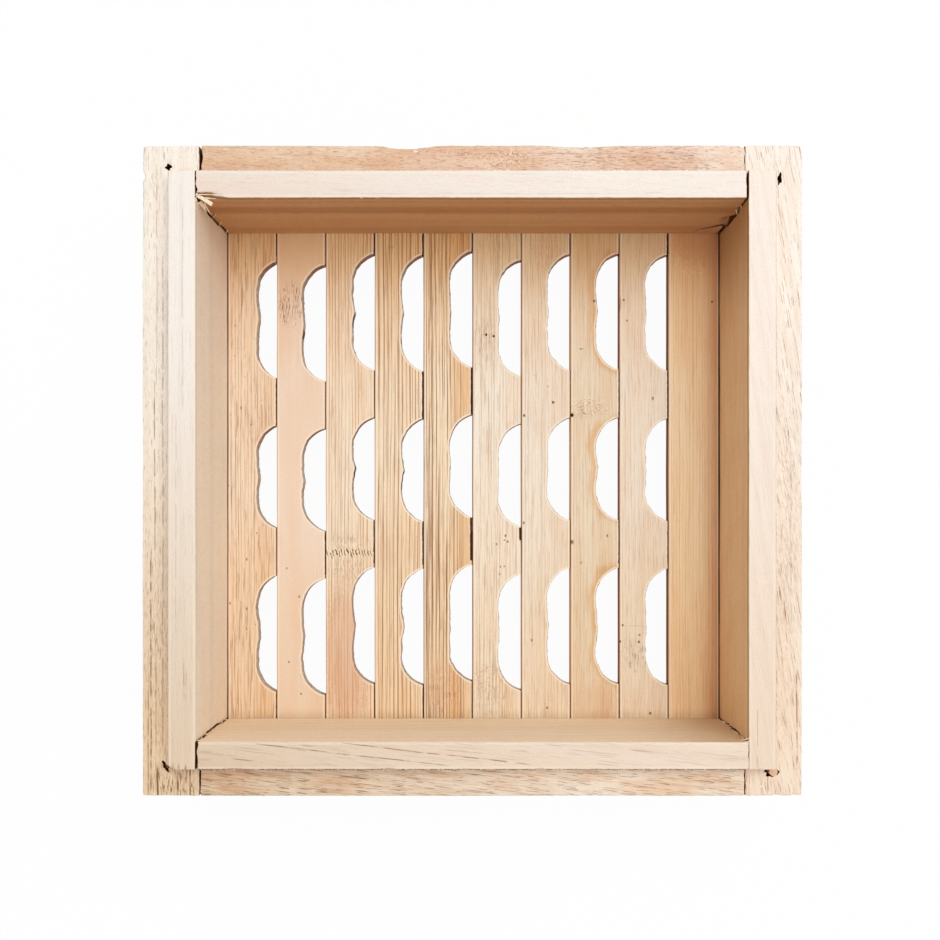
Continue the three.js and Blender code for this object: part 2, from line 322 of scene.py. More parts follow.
# Marks of each piece: the kind, then for each mark its place across and along the basket, its half sizes,
# all in millimetres, and its strength
MARKS = {
    "left_board": [
        ("dashes", (-108, -113, 11, 6, 1.0), (-114, -60, 6, 60, 0.35)),
    ],
    "right_board": [
        ("dashes", (115, -20, 5, 60, 0.4)), ("chip", (105.3, -115, 0.9, 0.5, 1.0)),
    ],
    "back_board": [
        ("curls", (13, 113.5, 10, 4.5, 0.9)), ("pale curls", (11, 113, 12, 5.5, 1.25)),
        ("curls", (-4, 115, 8, 2.5, 0.4)), ("pale curls", (-4, 114.5, 9, 3.5, 0.7)),
        ("stain", (70, 113, 19, 6, 0.6), (-86.5, 111.5, 7, 3, 0.45), (5, 113, 50, 8, 0.5)),
        ("chip", (-20.7, 116.3, 1.1, 0.5, 1.0)), ("dashes", (60, 113, 34, 6, 0.6)),
        ("spot", (-22, 117.8, 5, 0.5, 0.5), (41, 118, 7, 0.5, 0.6)),
    ],
    "slat_01": [
        ("dots", (-89, 38, 6, 14, 0.7)), ("dashes", (-86, 20, 7, 20, 0.3)),
        ("spot", (-91.6, -61.6, 0.3, 0.5, 0.6)),
    ],
    "slat_02": [
        ("dashes", (-73.8, 69.5, 6.5, 10, 1.25)), ("dots", (-73, 72, 6.5, 11, 1.25)),
        ("spot", (-75.3, -37.2, 0.3, 0.4, 0.7), (-70.3, -48.7, 0.35, 0.45, 0.7),
         (-74.5, -75, 0.35, 0.45, 0.7), (-69.6, -87.8, 0.35, 0.45, 0.7), (-69.4, 3, 0.3, 0.6, 0.3)),
    ],
    "slat_03": [
        ("dashes", (-51, -26.5, 10, 4.5, 0.6)), ("pale curls", (-51, -29.5, 10, 3.2, 1.0)),
        ("teeth", (-51, -31.0, 13, 7, 1.2)), ("dashes", (-51, -37, 9, 6, 0.6)),
        ("stain", (-52, -72, 12, 36, 0.85)),
    ],
    "slat_04": [
        ("stain", (-32, -30, 9, 8, 0.2)), ("spot", (-33.3, 92.2, 1.1, 0.6, 0.2)),
    ],
    "slat_05": [
        ("dashes", (-11.5, -86, 9, 13, 0.6)), ("stain", (-11.5, -86, 9, 14, 0.3)),
    ],
    "slat_06": [
        ("dots", (4.8, 55, 5.5, 9, 1.0)), ("dashes", (4.8, 54, 6, 13, 0.45)),
        ("hole", (5.1, 56.9, 0.4, 0.5, 1.0), (8.1, 56.3, 0.45, 0.45, 1.0)),
        ("spot", (12.9, -24.1, 0.4, 0.5, 0.9), (13.7, -26.5, 0.4, 0.5, 0.8), (12.4, -25.9, 0.3, 0.3, 0.8),
         (9.2, -27.5, 0.35, 0.4, 0.8), (10.8, -36.7, 0.3, 0.4, 0.8), (12.4, -36.5, 0.3, 0.3, 0.8),
         (10.5, -39.6, 0.35, 0.5, 0.6)),
        ("curls", (6, -81, 9, 7, 0.45)), ("dashes", (6, -90, 9, 8, 0.45), (9, 92, 10, 7, 0.2)),
    ],
    "slat_07": [
        ("dashes", (30, 90, 8, 9, 0.4)),
        ("spot", (32.1, 29.7, 0.5, 0.5, 1.0), (20.4, 24.3, 0.5, 0.6, 0.9), (20.2, -18.9, 0.4, 0.6, 0.8),
         (23.4, -66.2, 0.4, 0.6, 0.7), (29.6, -93.5, 0.5, 0.5, 0.7), (30, 36, 0.3, 0.3, 0.6)),
    ],
    "slat_08": [
        ("hole", (39.7, 24.5, 0.65, 0.75, 1.4)),
        ("spot", (39.5, -26.7, 0.8, 0.9, 0.7), (39.6, -26.4, 0.4, 0.5, 0.7)),
        ("curls", (46, 27, 9, 4.5, 0.9)), ("pale curls", (46, 29, 9, 4, 0.8)),
        ("dots", (47, 28, 8, 3, 1.2)),
        ("spot", (43.3, 51.2, 0.8, 0.3, 0.7), (53.9, -24.1, 0.4, 0.5, 0.8), (43.3, -35, 0.3, 0.5, 0.6),
         (48.7, 70.5, 0.6, 0.5, 0.8)),
        ("stain", (49, -92, 11, 10, 0.4), (49, 84, 11, 14, 0.25)),
    ],
    "slat_09": [
        ("spot", (60.5, 70.9, 0.45, 0.5, 0.8), (61.8, 62.6, 0.4, 0.5, 0.7), (72.2, 31.2, 0.45, 0.8, 0.7),
         (60.1, -60.2, 0.4, 0.4, 0.9), (59.1, -66.8, 0.4, 0.5, 0.9), (66.9, -64.1, 0.35, 0.4, 0.8),
         (66.6, -66.9, 0.45, 0.5, 0.9)),
        ("dashes", (65, -72, 7.5, 8, 0.7)), ("spot", (65, -60.5, 5, 0.3, 0.12)),
        ("dots", (66, -90, 7, 8, 0.8)), ("spot", (71.2, -95.7, 0.5, 0.5, 0.9), (59, 69, 0.5, 2.6, 0.4)),
    ],
    "slat_10": [
        # The stain at the back right corner is painted shade of that corner
        ("spot", (96.1, 70.2, 0.5, 0.4, 0.8)), ("stain", (92, 99, 18, 18, 1.1)),
    ],
}
MARK_COLOURS = {
    "spot": srgb(118, 82, 52), "hole": srgb(56, 30, 12), "dashes": srgb(134, 90, 54),
    "teeth": srgb(126, 82, 42), "between teeth": srgb(252, 234, 198), "chip": srgb(252, 242, 228),
    "dots": srgb(120, 74, 42), "curls": srgb(178, 126, 82), "pale curls": srgb(255, 240, 214),
    "stain": srgb(214, 150, 112),
}

# How strongly the kinds of marks are laid on, where it isn't as usual
USUAL_STRENGTH = 0.8
MARK_STRENGTHS = {"stain": 0.5, "spot": 1.0, "hole": 1.0}


# Noise and mesh making

# Large odd numbers that turn a cell's place into a random value
HASH_STEPS = (374761393, 668265263, 1442695041)
HASH_MIX = 1274126177
HASH_MASK = 0xFFFFFFFF


def ripple(points, size, seed):
    """Smooth random values from -1 to 1 at the points, whose bumps have about the given size in metres."""
    places = points / np.asarray(size)
    cells = np.floor(places).astype(np.int64)
    inside = places - cells
    blend = inside * inside * (3 - 2 * inside)
    total = np.zeros(len(points))
    for corner in itertools.product((0, 1), repeat=3):
        cell = cells + corner
        mixed = (cell * HASH_STEPS).sum(axis=1) + seed * HASH_MIX & HASH_MASK
        mixed = ((mixed ^ (mixed >> 13)) * HASH_MIX) & HASH_MASK
        mixed = ((mixed ^ (mixed >> 16)) * HASH_MIX) & HASH_MASK
        weight = np.where(corner, blend, 1 - blend).prod(axis=1)
        total += weight * (mixed / HASH_MASK * 2 - 1)
    return total


def ease(values, low, high):
    """Runs smoothly from 0 at low to 1 at high."""
    part = np.clip((values - low) / (high - low), 0, 1)
    return part * part * (3 - 2 * part)


def spread(start, *runs):
    """Places from start through the end of every run, each run in even steps no longer than its own."""
    places = [start]
    for stop, step in runs:
        count = max(1, math.ceil((stop - places[-1]) / step - MM))
        places += list(np.linspace(places[-1], stop, count + 1)[1:])
    return np.array(places)


def lattice(xs, ys, zs, filled):
    """Corners and faces of the solid made of the grid cells whose middles are filled."""
    lines = (xs, ys, zs)
    middles = [(line[1:] + line[:-1]) / 2 for line in lines]
    cells = np.pad(filled(*np.meshgrid(*middles, indexing="ij")), 1).astype(np.int8)
    steps = np.eye(3, dtype=int)
    quads = []
    for axis in range(3):
        first, second = (axis + 1) % 3, (axis + 2) % 3
        change = np.diff(cells, axis=axis)
        for facing in (1, -1):
            corner = np.argwhere(change == -facing)
            corner[:, [first, second]] -= 1
            turn = [
                corner, corner + steps[first],
                corner + steps[first] + steps[second], corner + steps[second],
            ]
            quads.append(np.stack(turn[::facing], axis=1))
    quads = np.concatenate(quads)
    counts = [len(line) for line in lines]
    used, index = np.unique(np.ravel_multi_index(quads.reshape(-1, 3).T, counts), return_inverse=True)
    i, j, k = np.unravel_index(used, counts)
    return np.column_stack([xs[i], ys[j], zs[k]]), index.reshape(-1, 4)


def skin(rings):
    """Corners and faces of a closed body whose sections are the rings, all with as many points."""
    count, size = rings.shape[:2]
    index = np.arange(count * size).reshape(count, size)
    ahead = np.roll(index, -1, axis=1)
    sides = np.stack([index[:-1], ahead[:-1], ahead[1:], index[1:]], axis=2).reshape(-1, 4)
    faces = sides.tolist()
    faces += [index[0][::-1].tolist(), index[-1].tolist()]
    return rings.reshape(-1, 3), faces


def add_object(name, points, faces):
    mesh = bpy.data.meshes.new(name)
    mesh.from_pydata(np.asarray(points).tolist(), [], np.asarray(faces, dtype=object).tolist())
    body = bpy.data.objects.new(name, mesh)
    bpy.context.scene.collection.objects.link(body)
    return body


def apply_modifier(body, kind, **settings):
    """Adds a modifier, and makes its result the object's mesh."""
    modifier = body.modifiers.new(kind, kind)
    for name, value in settings.items():
        setattr(modifier, name, value)
    bpy.context.view_layer.update()
    shaped = body.evaluated_get(bpy.context.evaluated_depsgraph_get())
    old = body.data
    mesh = bpy.data.meshes.new_from_object(shaped)
    body.modifiers.clear()
    body.data = mesh
    mesh.name = body.name
    bpy.data.meshes.remove(old)


def read_vectors(items, key):
    values = np.empty(len(items) * 3)
    items.foreach_get(key, values)
    return values.reshape(-1, 3)


def read_points(body):
    return read_vectors(body.data.vertices, "co")


def write_points(body, points):
    """Moves the corners to the points, but none of them below the floor."""
    points[:, 2] = np.maximum(points[:, 2], 0)
    body.data.vertices.foreach_set("co", points.ravel())
    body.data.update()


def round_arrises(body, width, **settings):
    """Rounds the arrises. Returns the corners, their normals, and how much of an arris each corner is."""
    sharp = {"limit_method": "ANGLE", "angle_limit": math.radians(50)}
    apply_modifier(body, "BEVEL", width=width, segments=2, **sharp, **settings)
    normals = read_vectors(body.data.vertex_normals, "vector")
    return read_points(body), normals, ease(1 - np.abs(normals).max(axis=1), 0.02, 0.2)


def write_mask(body, name, values):
    """Keeps a value for each corner of the mesh, which the material reads by name."""
    mask = body.data.attributes.new(name, "FLOAT", "POINT")
    mask.data.foreach_set("value", np.asarray(values, dtype=np.float32))


def finish_piece(body, material, slot, *nodes):
    """Smooths the shading, gives the piece its finish and lets it stand for its CAD nodes."""
    body.data.polygons.foreach_set("use_smooth", np.ones(len(body.data.polygons), dtype=bool))
    apply_modifier(body, "WEIGHTED_NORMAL", mode="FACE_AREA_WITH_ANGLE", weight=50)
    body.data.materials.clear()
    body.data.materials.append(material)
    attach(body, "root")
    if nodes:
        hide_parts(*nodes)


# Shader nodes

def rgba(value):
    """A colour with its alpha, if it is given as three numbers."""
    if isinstance(value, bpy.types.NodeSocket):
        return value
    return (*value, 1.0) if len(value) == 3 else value


def words(key):
    """A name in the script as it is written on a socket."""
    return key.capitalize().replace("_", " ")


class Wiring:
    """Adds nodes to one node tree and joins them."""

    def __init__(self, tree):
        self.tree = tree

    def add(self, kind, inputs=None, **settings):
        """A new node. Each of its inputs is joined to a socket or set to a value."""
        node = self.tree.nodes.new(kind)
        for name, value in settings.items():
            setattr(node, name, value)
        for key, value in (inputs or {}).items():
            if isinstance(value, bpy.types.NodeSocket):
                self.tree.links.new(value, node.inputs[key])
            else:
                node.inputs[key].default_value = value
        return node

    def group(self, tree, **inputs):
        """Outputs of a node group, whose inputs are given by their names in the script."""
        named = {words(key): value for key, value in inputs.items()}
        return self.add("ShaderNodeGroup", named, node_tree=tree).outputs

    def math(self, operation, *values):
        return self.add("ShaderNodeMath", dict(enumerate(values)), operation=operation).outputs[0]

    plus = partialmethod(math, "ADD")
    minus = partialmethod(math, "SUBTRACT")
    over = partialmethod(math, "DIVIDE")
    times_plus = partialmethod(math, "MULTIPLY_ADD")
    size = partialmethod(math, "ABSOLUTE")
    least = partialmethod(math, "MINIMUM")
    most = partialmethod(math, "MAXIMUM")

    def times(self, *values):
        """Product of two or more values."""
        product = values[0]
        for value in values[1:]:
            product = self.math("MULTIPLY", product, value)
        return product

    def vector(self, operation, *values):
        node = self.add("ShaderNodeVectorMath", dict(enumerate(values)), operation=operation)
        return node.outputs["Value" if operation in ("DOT_PRODUCT", "LENGTH") else "Vector"]

    def ramp(self, value, low, high, start=0.0, stop=1.0):
        """Runs smoothly from start to stop while the value goes from low to high."""
        inputs = {"Value": value, "From Min": low, "From Max": high, "To Min": start, "To Max": stop}
        return self.add("ShaderNodeMapRange", inputs, interpolation_type="SMOOTHSTEP").outputs[0]

    def fall(self, value, low, high):
        return self.ramp(value, low, high, 1.0, 0.0)

    def mix(self, part, first, second, blend="MIX"):
        inputs = {0: part, 6: rgba(first), 7: rgba(second)}
        return self.add("ShaderNodeMix", inputs, data_type="RGBA", blend_type=blend).outputs[2]

    def paint(self, base, colour, *parts):
        """Lays a colour over the base, as strongly as the product of the parts."""
        return self.mix(self.times(*parts), base, colour)

    def tint(self, base, colour, *parts):
        """Multiplies the base by a colour, as strongly as the product of the parts."""
        return self.mix(self.times(*parts), base, colour, "MULTIPLY")

    def noise(self, place, scale, detail=2.0, roughness=0.5, distortion=0.0):
        """Noise at the place, which is stretched by the scale's three values."""
        scaled = self.vector("MULTIPLY", place, scale)
        inputs = {"Vector": scaled, "Scale": 1.0, "Detail": detail, "Roughness": roughness}
        return self.add("ShaderNodeTexNoise", {**inputs, "Distortion": distortion}).outputs["Fac"]

    def split(self, place):
        return self.add("ShaderNodeSeparateXYZ", {0: place}).outputs

    def join(self, x, y, z):
        return self.add("ShaderNodeCombineXYZ", {0: x, 1: y, 2: z}).outputs[0]

    def mask(self, name):
        return self.add("ShaderNodeAttribute", attribute_name=name).outputs["Fac"]


def make_group(name, inputs, outputs, build):
    """A shader node group. Inputs map a name to its default; build returns the output sockets."""
    tree = bpy.data.node_groups.new(name, "ShaderNodeTree")
    for key, default in inputs.items():
        kind = "NodeSocketVector" if isinstance(default, tuple) else "NodeSocketFloat"
        tree.interface.new_socket(words(key), in_out="INPUT", socket_type=kind).default_value = default
    for key in outputs:
        tree.interface.new_socket(key, in_out="OUTPUT", socket_type="NodeSocketFloat")
    given = tree.nodes.new("NodeGroupInput").outputs
    result = tree.nodes.new("NodeGroupOutput")
    for key, socket in zip(outputs, build(Wiring(tree), *[given[words(key)] for key in inputs])):
        tree.links.new(socket, result.inputs[key])
    return tree


def effect(*outputs):
    """Turns the function below into one shader node group, whose inputs are the function's own."""
    def decorate(build):
        name = build.__name__.replace("_", " ")
        parameters = signature(build).parameters
        inputs = {key: item.default for key, item in parameters.items() if key != "wire"}

        def group():
            return bpy.data.node_groups.get(name) or make_group(name, inputs, outputs, build)
        return group
    return decorate


ORIGIN = (0.0, 0.0, 0.0)


@effect("Late wood", "Streaks")
def growth_rings(wire, place=ORIGIN, heart_side=150.0, heart_height=20.0, width=4.5, seed=0.0):
    """Late wood and slow streaks of a board whose grain runs along Y and whose heart lies to one side."""
    x, y, z = wire.split(place)
    seeded = wire.join(x, wire.times_plus(seed, 531.0, y), z)
    wander = wire.minus(wire.noise(seeded, (0.05, 0.008, 0.05)), 0.5)
    sideways = wire.times_plus(wander, 6.0, x)
    from_heart = wire.join(wire.minus(sideways, heart_side), wire.minus(z, heart_height), 0.0)
    count = wire.over(wire.vector("LENGTH", from_heart), width)
    uneven = wire.noise(wire.join(count, seed, 0.0), (0.8, 1.0, 1.0), detail=1.0)
    turn = wire.math("FRACT", wire.times_plus(uneven, 1.2, count))
    late = wire.times(wire.ramp(turn, 0.45, 0.9), wire.fall(turn, 0.93, 1.0))
    return late, wire.noise(seeded, (0.45, 0.007, 0.45), detail=3.0)


@effect("Dashes")
def dashes(wire, place=ORIGIN, across=0.5, along=3.0, level=0.6, seed=0.0):
    """Short strokes along Y, like torn fibres, wherever noise rises above the level."""
    x, y, z = wire.split(place)
    along_seeded = wire.times_plus(seed, 17.3, wire.over(y, along))
    scaled = wire.join(wire.over(x, across), along_seeded, wire.over(z, across))
    value = wire.noise(scaled, (1.0, 1.0, 1.0), detail=1.0)
    return (wire.ramp(value, level, wire.plus(level, 0.04)),)


@effect("Curls")
def curls(wire, place=ORIGIN, seed=0.0):
    """Short curly strokes where the fibres turn out of the surface."""
    seeded = wire.vector("ADD", place, wire.join(0.0, 0.0, wire.times(seed, 23.0)))
    value = wire.noise(seeded, (0.95, 0.75, 0.5), detail=1.0, distortion=1.6)
    return (wire.ramp(value, 0.56, 0.62),)


@effect("Teeth", "Between")
def teeth(wire, place=ORIGIN, row=0.0):
    """A row of short leaning strokes side by side, each at its own height."""
    x, y, _ = wire.split(place)
    bent = wire.times_plus(wire.noise(place, (0.5, 0.5, 0.5)), 1.6, wire.times(x, 0.85))
    count = wire.times_plus(y, 0.2, bent)
    across = wire.size(wire.minus(wire.math("FRACT", count), 0.5))
    tooth = wire.join(wire.times(wire.math("FLOOR", count), 5.3), 0.0, 0.0)
    own = wire.noise(tooth, (1.0, 1.0, 1.0), detail=0.0)
    level = wire.times_plus(wire.minus(own, 0.5), 5.0, row)
    near = wire.fall(wire.size(wire.minus(y, level)), 0.9, 1.5)
    return wire.times(wire.fall(across, 0.1, 0.26), near), wire.times(wire.ramp(across, 0.24, 0.4), near)


@effect("Line")
def long_line(wire, place=ORIGIN, at=0.0, width=0.4, start=-100.0, stop=100.0):
    """One thin line along Y, which wanders and fades here and there."""
    x, y, _ = wire.split(place)
    sway = wire.noise(wire.join(wire.times(at, 7.0), y, 0.0), (1.0, 0.025, 1.0), detail=3.0)
    away = wire.size(wire.minus(wire.minus(x, at), wire.minus(sway, 0.5)))
    near = wire.fall(away, wire.times(width, 0.2), wire.times(width, 0.75))
    begin = wire.ramp(y, start, wire.plus(start, 4.0))
    end = wire.fall(y, wire.minus(stop, 4.0), stop)
    broken = wire.noise(wire.join(at, y, 0.0), (3.0, 0.16, 1.0), detail=3.0)
    return (wire.times(near, begin, end, wire.ramp(broken, 0.36, 0.56)),)


@effect("Oval")
def oval(wire, place=ORIGIN, x=0.0, y=0.0, half_width=1.0, half_length=1.0):
    """One oval place with a soft and slightly ragged rim."""
    here = wire.split(place)
    across = wire.over(wire.minus(here[0], x), half_width)
    along = wire.over(wire.minus(here[1], y), half_length)
    away = wire.vector("LENGTH", wire.join(across, along, 0.0))
    return (wire.fall(wire.times_plus(wire.noise(place, (0.9, 0.9, 0.9)), 0.7, away), 0.8, 1.45),)


@effect("Lines", "Pale", "Fine", "Stripes", "Threads", "Grain")
def bamboo_fibres(wire, place=ORIGIN, spacing=1.3, seed=0.0):
    """Long lines at a nearly even distance, finer broken lines, broad stripes, threads and grain along Y."""
    x, y, z = wire.split(place)
    sway = wire.noise(wire.join(x, y, seed), (0.05, 0.01, 1.0), detail=1.0)
    bent = wire.times_plus(sway, 1.5, x)
    fibre = wire.join(bent, wire.times_plus(seed, 97.0, y), z)
    uneven = wire.noise(fibre, (0.25, 0.003, 0.1), detail=1.0)
    count = wire.times_plus(uneven, 1.6, wire.over(bent, spacing))
    from_line = wire.size(wire.minus(wire.math("FRACT", count), 0.5))
    each = wire.join(wire.times(wire.math("FLOOR", count), 3.7), wire.times(y, 0.014), seed)
    weight = wire.ramp(wire.noise(each, (1.0, 1.0, 1.0)), 0.35, 0.6, 0.1, 1.0)
    lines = wire.times(wire.fall(from_line, 0.04, 0.2), weight)
    pale = wire.times(wire.ramp(from_line, 0.18, 0.25), wire.fall(from_line, 0.36, 0.46), weight)
    fine = wire.ramp(wire.noise(fibre, (3.4, 0.08, 0.3), detail=3.0), 0.55, 0.61)
    stripes = wire.ramp(wire.noise(fibre, (0.6, 0.004, 0.2), detail=1.0), 0.48, 0.6)
    between = wire.size(wire.minus(wire.noise(fibre, (0.8, 0.003, 0.1), detail=1.0), 0.5))
    fading = wire.ramp(wire.noise(fibre, (1.2, 0.03, 0.3)), 0.38, 0.56)
    threads = wire.times(wire.fall(between, 0.01, 0.04), fading)
    return lines, pale, fine, stripes, threads, wire.noise(fibre, (4.0, 1.5, 2.0))


@effect("Dots")
def pin_dots(wire, place=ORIGIN, cell=(2.0, 3.0, 50.0), radius=0.1, share=0.1, seed=0.0):
    """Small dark dots, in the given share of the cells of a grid whose cells have the given size."""
    seeded = wire.vector("ADD", place, wire.join(0.0, 0.0, wire.times(seed, 11.0)))
    scaled = wire.vector("DIVIDE", seeded, cell)
    cells = wire.add("ShaderNodeTexVoronoi", {"Vector": scaled, "Scale": 1.0, "Randomness": 1.0}).outputs
    chance = wire.split(cells["Color"])[0]
    chosen = wire.math("LESS_THAN", chance, share)
    size = wire.times_plus(chance, 0.3, radius)
    near = wire.fall(cells["Distance"], wire.times(size, 0.5), size)
    return (wire.times(chosen, near),)


def new_material(name):
    material = bpy.data.materials.new(name)
    material.use_nodes = True
    tree = material.node_tree
    tree.nodes.clear()
    wire = Wiring(tree)
    place = wire.vector("MULTIPLY", wire.add("ShaderNodeTexCoord").outputs["Object"], (1 / MM,) * 3)
    return material, wire, place


# Bare wood and bamboo hardly shine, so their dark cracks stay dark under the white sky
BARE_WOOD_SHINE = 0.1


def finish_material(wire, base, roughness, height, depth):
    """Joins the colour, roughness and height to the shader. Depth is in metres."""
    normal = wire.add("ShaderNodeBump", {"Height": height, "Distance": depth, "Strength": 1.0}).outputs[0]
    shader = wire.add("ShaderNodeBsdfPrincipled", {
        "Base Color": base, "Roughness": roughness, "Normal": normal,
        "Specular IOR Level": BARE_WOOD_SHINE,
    })
    result = wire.add("ShaderNodeOutputMaterial")
    wire.tree.links.new(shader.outputs[0], result.inputs[0])


def add_marks(wire, base, place, grain_place, name, seed, wanted):
    """Colours the marks of one piece in, each in its own oval place, where wanted lets them show."""
    patterns = {
        "dashes": wire.group(
            dashes(), place=grain_place, across=0.2, along=3.2, level=0.57, seed=seed + 3.0,
        )["Dashes"],
        "curls": wire.group(curls(), place=place, seed=seed + 1.0)["Curls"],
        "pale curls": wire.group(curls(), place=place, seed=seed + 2.0)["Curls"],
        "dots": wire.group(
            pin_dots(), place=place, cell=(1.1, 1.8, 60.0), radius=0.1, share=0.3, seed=seed + 0.5,
        )["Dots"],
    }
    marks = [(kind, *mark) for kind, *places in MARKS.get(name, ()) for mark in places]
    for kind, x, y, half_width, half_length, strength in marks:
        size = 1.3 if kind in ("spot", "hole") else 1.0
        half_sizes = {"half_width": half_width * size, "half_length": half_length * size}
        inside = wire.group(oval(), place=place, x=x, y=y, **half_sizes)["Oval"]
        if kind == "teeth":
            row = wire.group(teeth(), place=place, row=y)
            base = wire.paint(base, MARK_COLOURS["between teeth"], inside, row["Between"], 0.8)
            inside = wire.times(inside, row["Teeth"])
        part = wire.times(inside, wanted, strength * MARK_STRENGTHS.get(kind, USUAL_STRENGTH))
        if kind in patterns:
            part = wire.times(part, patterns[kind])
        base = wire.paint(base, MARK_COLOURS[kind], wire.least(part, 1.0))
    return base


def add_edge_lines(wire, base, from_inner, z, look, inner, speckle):
    """Colours the lip's edges: a pale line along both arrises, partly wear and partly painted highlight; a
    brown line at the outer arris, partly torn fibres and partly painted shadow below the lip; and painted
    shade just below the inner arris.
    """
    top = WALL_TOP / MM
    lip = bpy.context.scene.basket.sizes.lip_width / MM
    near_top = wire.ramp(z, top - 0.9, top - 0.6)
    worn_inner = wire.times(wire.ramp(from_inner, 0.15, 0.3), wire.fall(from_inner, 0.8, 1.1))
    near_outer = wire.ramp(from_inner, lip - 1.4, lip - 1.1)
    worn_outer = wire.times(near_outer, wire.fall(from_inner, lip - 0.6, lip - 0.45))
    worn = wire.times(wire.plus(worn_inner, worn_outer), near_top, wire.ramp(speckle, 0.3, 0.55, 0.08, 0.32))
    # Pale line along both arrises of the lip: partly wear, partly painted highlight
    base = wire.paint(base, srgb(255, 244, 224), worn)
    # Brown line at the outer arris: partly torn fibres, partly painted shadow below the lip
    torn = wire.times(wire.ramp(from_inner, lip - 0.42, lip - 0.28), wire.ramp(z, top - 0.9, top - 0.6))
    base = wire.paint(base, srgb(108, 74, 46), torn, wire.ramp(speckle, 0.36, 0.56), look.outer_edge)
    # Painted shade on the inner face just below the lip's inner arris
    under = wire.times(inner, wire.ramp(z, top - 2.6, top - 2.0), wire.fall(z, top - 0.5, top - 0.25))
    return wire.paint(base, srgb(120, 94, 66), under, look.inner_edge)


def board_material(name, look, inward, along_x, seed):
    """Softwood of one board: sawn shelf and faces, a planed lip and a smoother inner face."""
    sizes = bpy.context.scene.basket.sizes
    material, wire, place = new_material(name)
    x, y, z = wire.split(place)
    across, along = (y, x) if along_x else (x, y)
    grain_place = wire.join(wire.times_plus(along, look.slant, across), along, z)
    grain = wire.group(
        growth_rings(), place=grain_place, heart_side=look.pith_side, heart_height=look.pith_height,
        width=look.ring_width, seed=float(seed),
    )
    stroke = {"place": grain_place, "across": look.dash_width, "along": look.dash_length}
    torn = wire.group(dashes(), **stroke, level=look.dash_level, seed=float(seed))["Dashes"]
    pale = wire.group(dashes(), **stroke, level=look.dash_level - 0.03, seed=seed + 2.0)["Dashes"]
    lip_lines = wire.group(
        dashes(), place=grain_place, across=0.32, along=16.0, level=0.62, seed=seed + 1.0,
    )["Dashes"]
    half = (HALF_WIDTH if along_x else HALF_DEPTH) / MM
    far = wire.ramp(along, -half, half * 0.6)
    shelf_height = (WALL_TOP - sizes.lip_height) / MM
    on_lip = wire.ramp(z, shelf_height + 1.0, shelf_height + 3.0)
    off_lip = wire.minus(1.0, on_lip)
    normal = wire.add("ShaderNodeNewGeometry").outputs["Normal"]
    inner = wire.ramp(wire.vector("DOT_PRODUCT", normal, inward), 0.4, 0.8)
    not_inner = wire.minus(1.0, inner)
    upward = wire.ramp(wire.split(normal)[2], 0.5, 0.8)
    outer = wire.minus(1.0, wire.most(inner, upward))
    grain_axis = (1.0, 0.0, 0.0) if along_x else (0.0, 1.0, 0.0)
    end = wire.ramp(wire.size(wire.vector("DOT_PRODUCT", normal, grain_axis)), 0.5, 0.8)
    sawn = wire.times(off_lip, not_inner)
    from_middle = wire.size(along)
    seam = (INNER_X if along_x else INNER_Y) / MM
    past_seam = wire.ramp(from_middle, seam - 0.1, seam + 0.05)
    level_part = wire.ramp(wire.size(wire.split(normal)[2]), 0.5, 0.8)
    above_foot = wire.ramp(z, 8.0, 8.5)
    below_shelf = wire.fall(z, shelf_height - 2.0, shelf_height - 1.5)
    level_part = wire.times(level_part, above_foot, below_shelf)
    lip_end = seam + sizes.lip_width / MM
    beyond_lip = wire.ramp(from_middle, lip_end - 1.0, lip_end - 0.5)
    open_end = wire.times(beyond_lip, wire.ramp(z, shelf_height - 0.5, shelf_height))
    before_end = wire.fall(from_middle, half - 3.0, half - 2.5)
    joint = wire.times(end, before_end, wire.minus(1.0, open_end))
    joint = wire.most(joint, wire.times(past_seam, wire.most(inner, level_part)))
    clearance = sizes.stack_clearance / MM
    recess_top = WALL_TOP / MM - shelf_height + clearance
    recess_end = lip_end + clearance
    above_recess = wire.ramp(z, recess_top - 0.1, recess_top + 0.4)
    beyond_recess = wire.ramp(from_middle, recess_end - 0.1, recess_end + 0.3)
    joint = wire.times(joint, wire.most(above_recess, beyond_recess))
    from_inner = wire.minus(wire.size(across), (INNER_Y if along_x else INNER_X) / MM)

    # Paler towards the far end: partly the wood's own tone, partly painted light from the key lamp at the
    # back right
    shelf_colour = wire.mix(far, look.shelf_near, look.shelf_far)
    lip_colour = wire.mix(far, look.lip_near, look.lip_far)
    base = wire.mix(on_lip, shelf_colour, lip_colour)
    base = wire.paint(base, look.inside, inner)
    clouds = wire.ramp(wire.noise(grain_place, (0.14, 0.05, 0.14), detail=3.0), 0.4, 0.65)
    base = wire.tint(base, srgb(240, 216, 196), clouds, sawn, look.clouds)
    slow = wire.ramp(grain["Streaks"], 0.4, 0.65)
    base = wire.tint(base, srgb(255, 226, 200), slow, 0.12)
    streaks = wire.ramp(wire.noise(grain_place, (1.3, 0.06, 1.3), detail=3.0, roughness=0.6), 0.42, 0.66)
    base = wire.tint(base, srgb(222, 196, 166), streaks, sawn, look.streaks)
    bands = wire.ramp(wire.noise(grain_place, (0.25, 0.006, 0.25), detail=3.0), 0.42, 0.62)
    base = wire.tint(base, srgb(250, 196, 156), bands, inner, look.bands)
    for height, half_width, strength in INNER_BANDS.get(name, ()):
        from_band = wire.size(wire.minus(z, height))
        near_band = wire.fall(from_band, half_width * 0.3, half_width)
        base = wire.tint(base, srgb(200, 164, 130), near_band, inner, strength)
    # Painted shade on the inner face, towards the back corner on the side boards and towards the right end
    # on the front board
    if look.shade > 0:
        near_back = wire.ramp(along, INNER_Y / MM - look.shade_reach, INNER_Y / MM)
        base = wire.tint(base, srgb(205, 188, 166), near_back, near_back, inner, look.shade)
    rings = wire.times(grain["Late wood"], wire.times_plus(outer, 0.33, 0.05))
    base = wire.paint(base, look.line, rings)

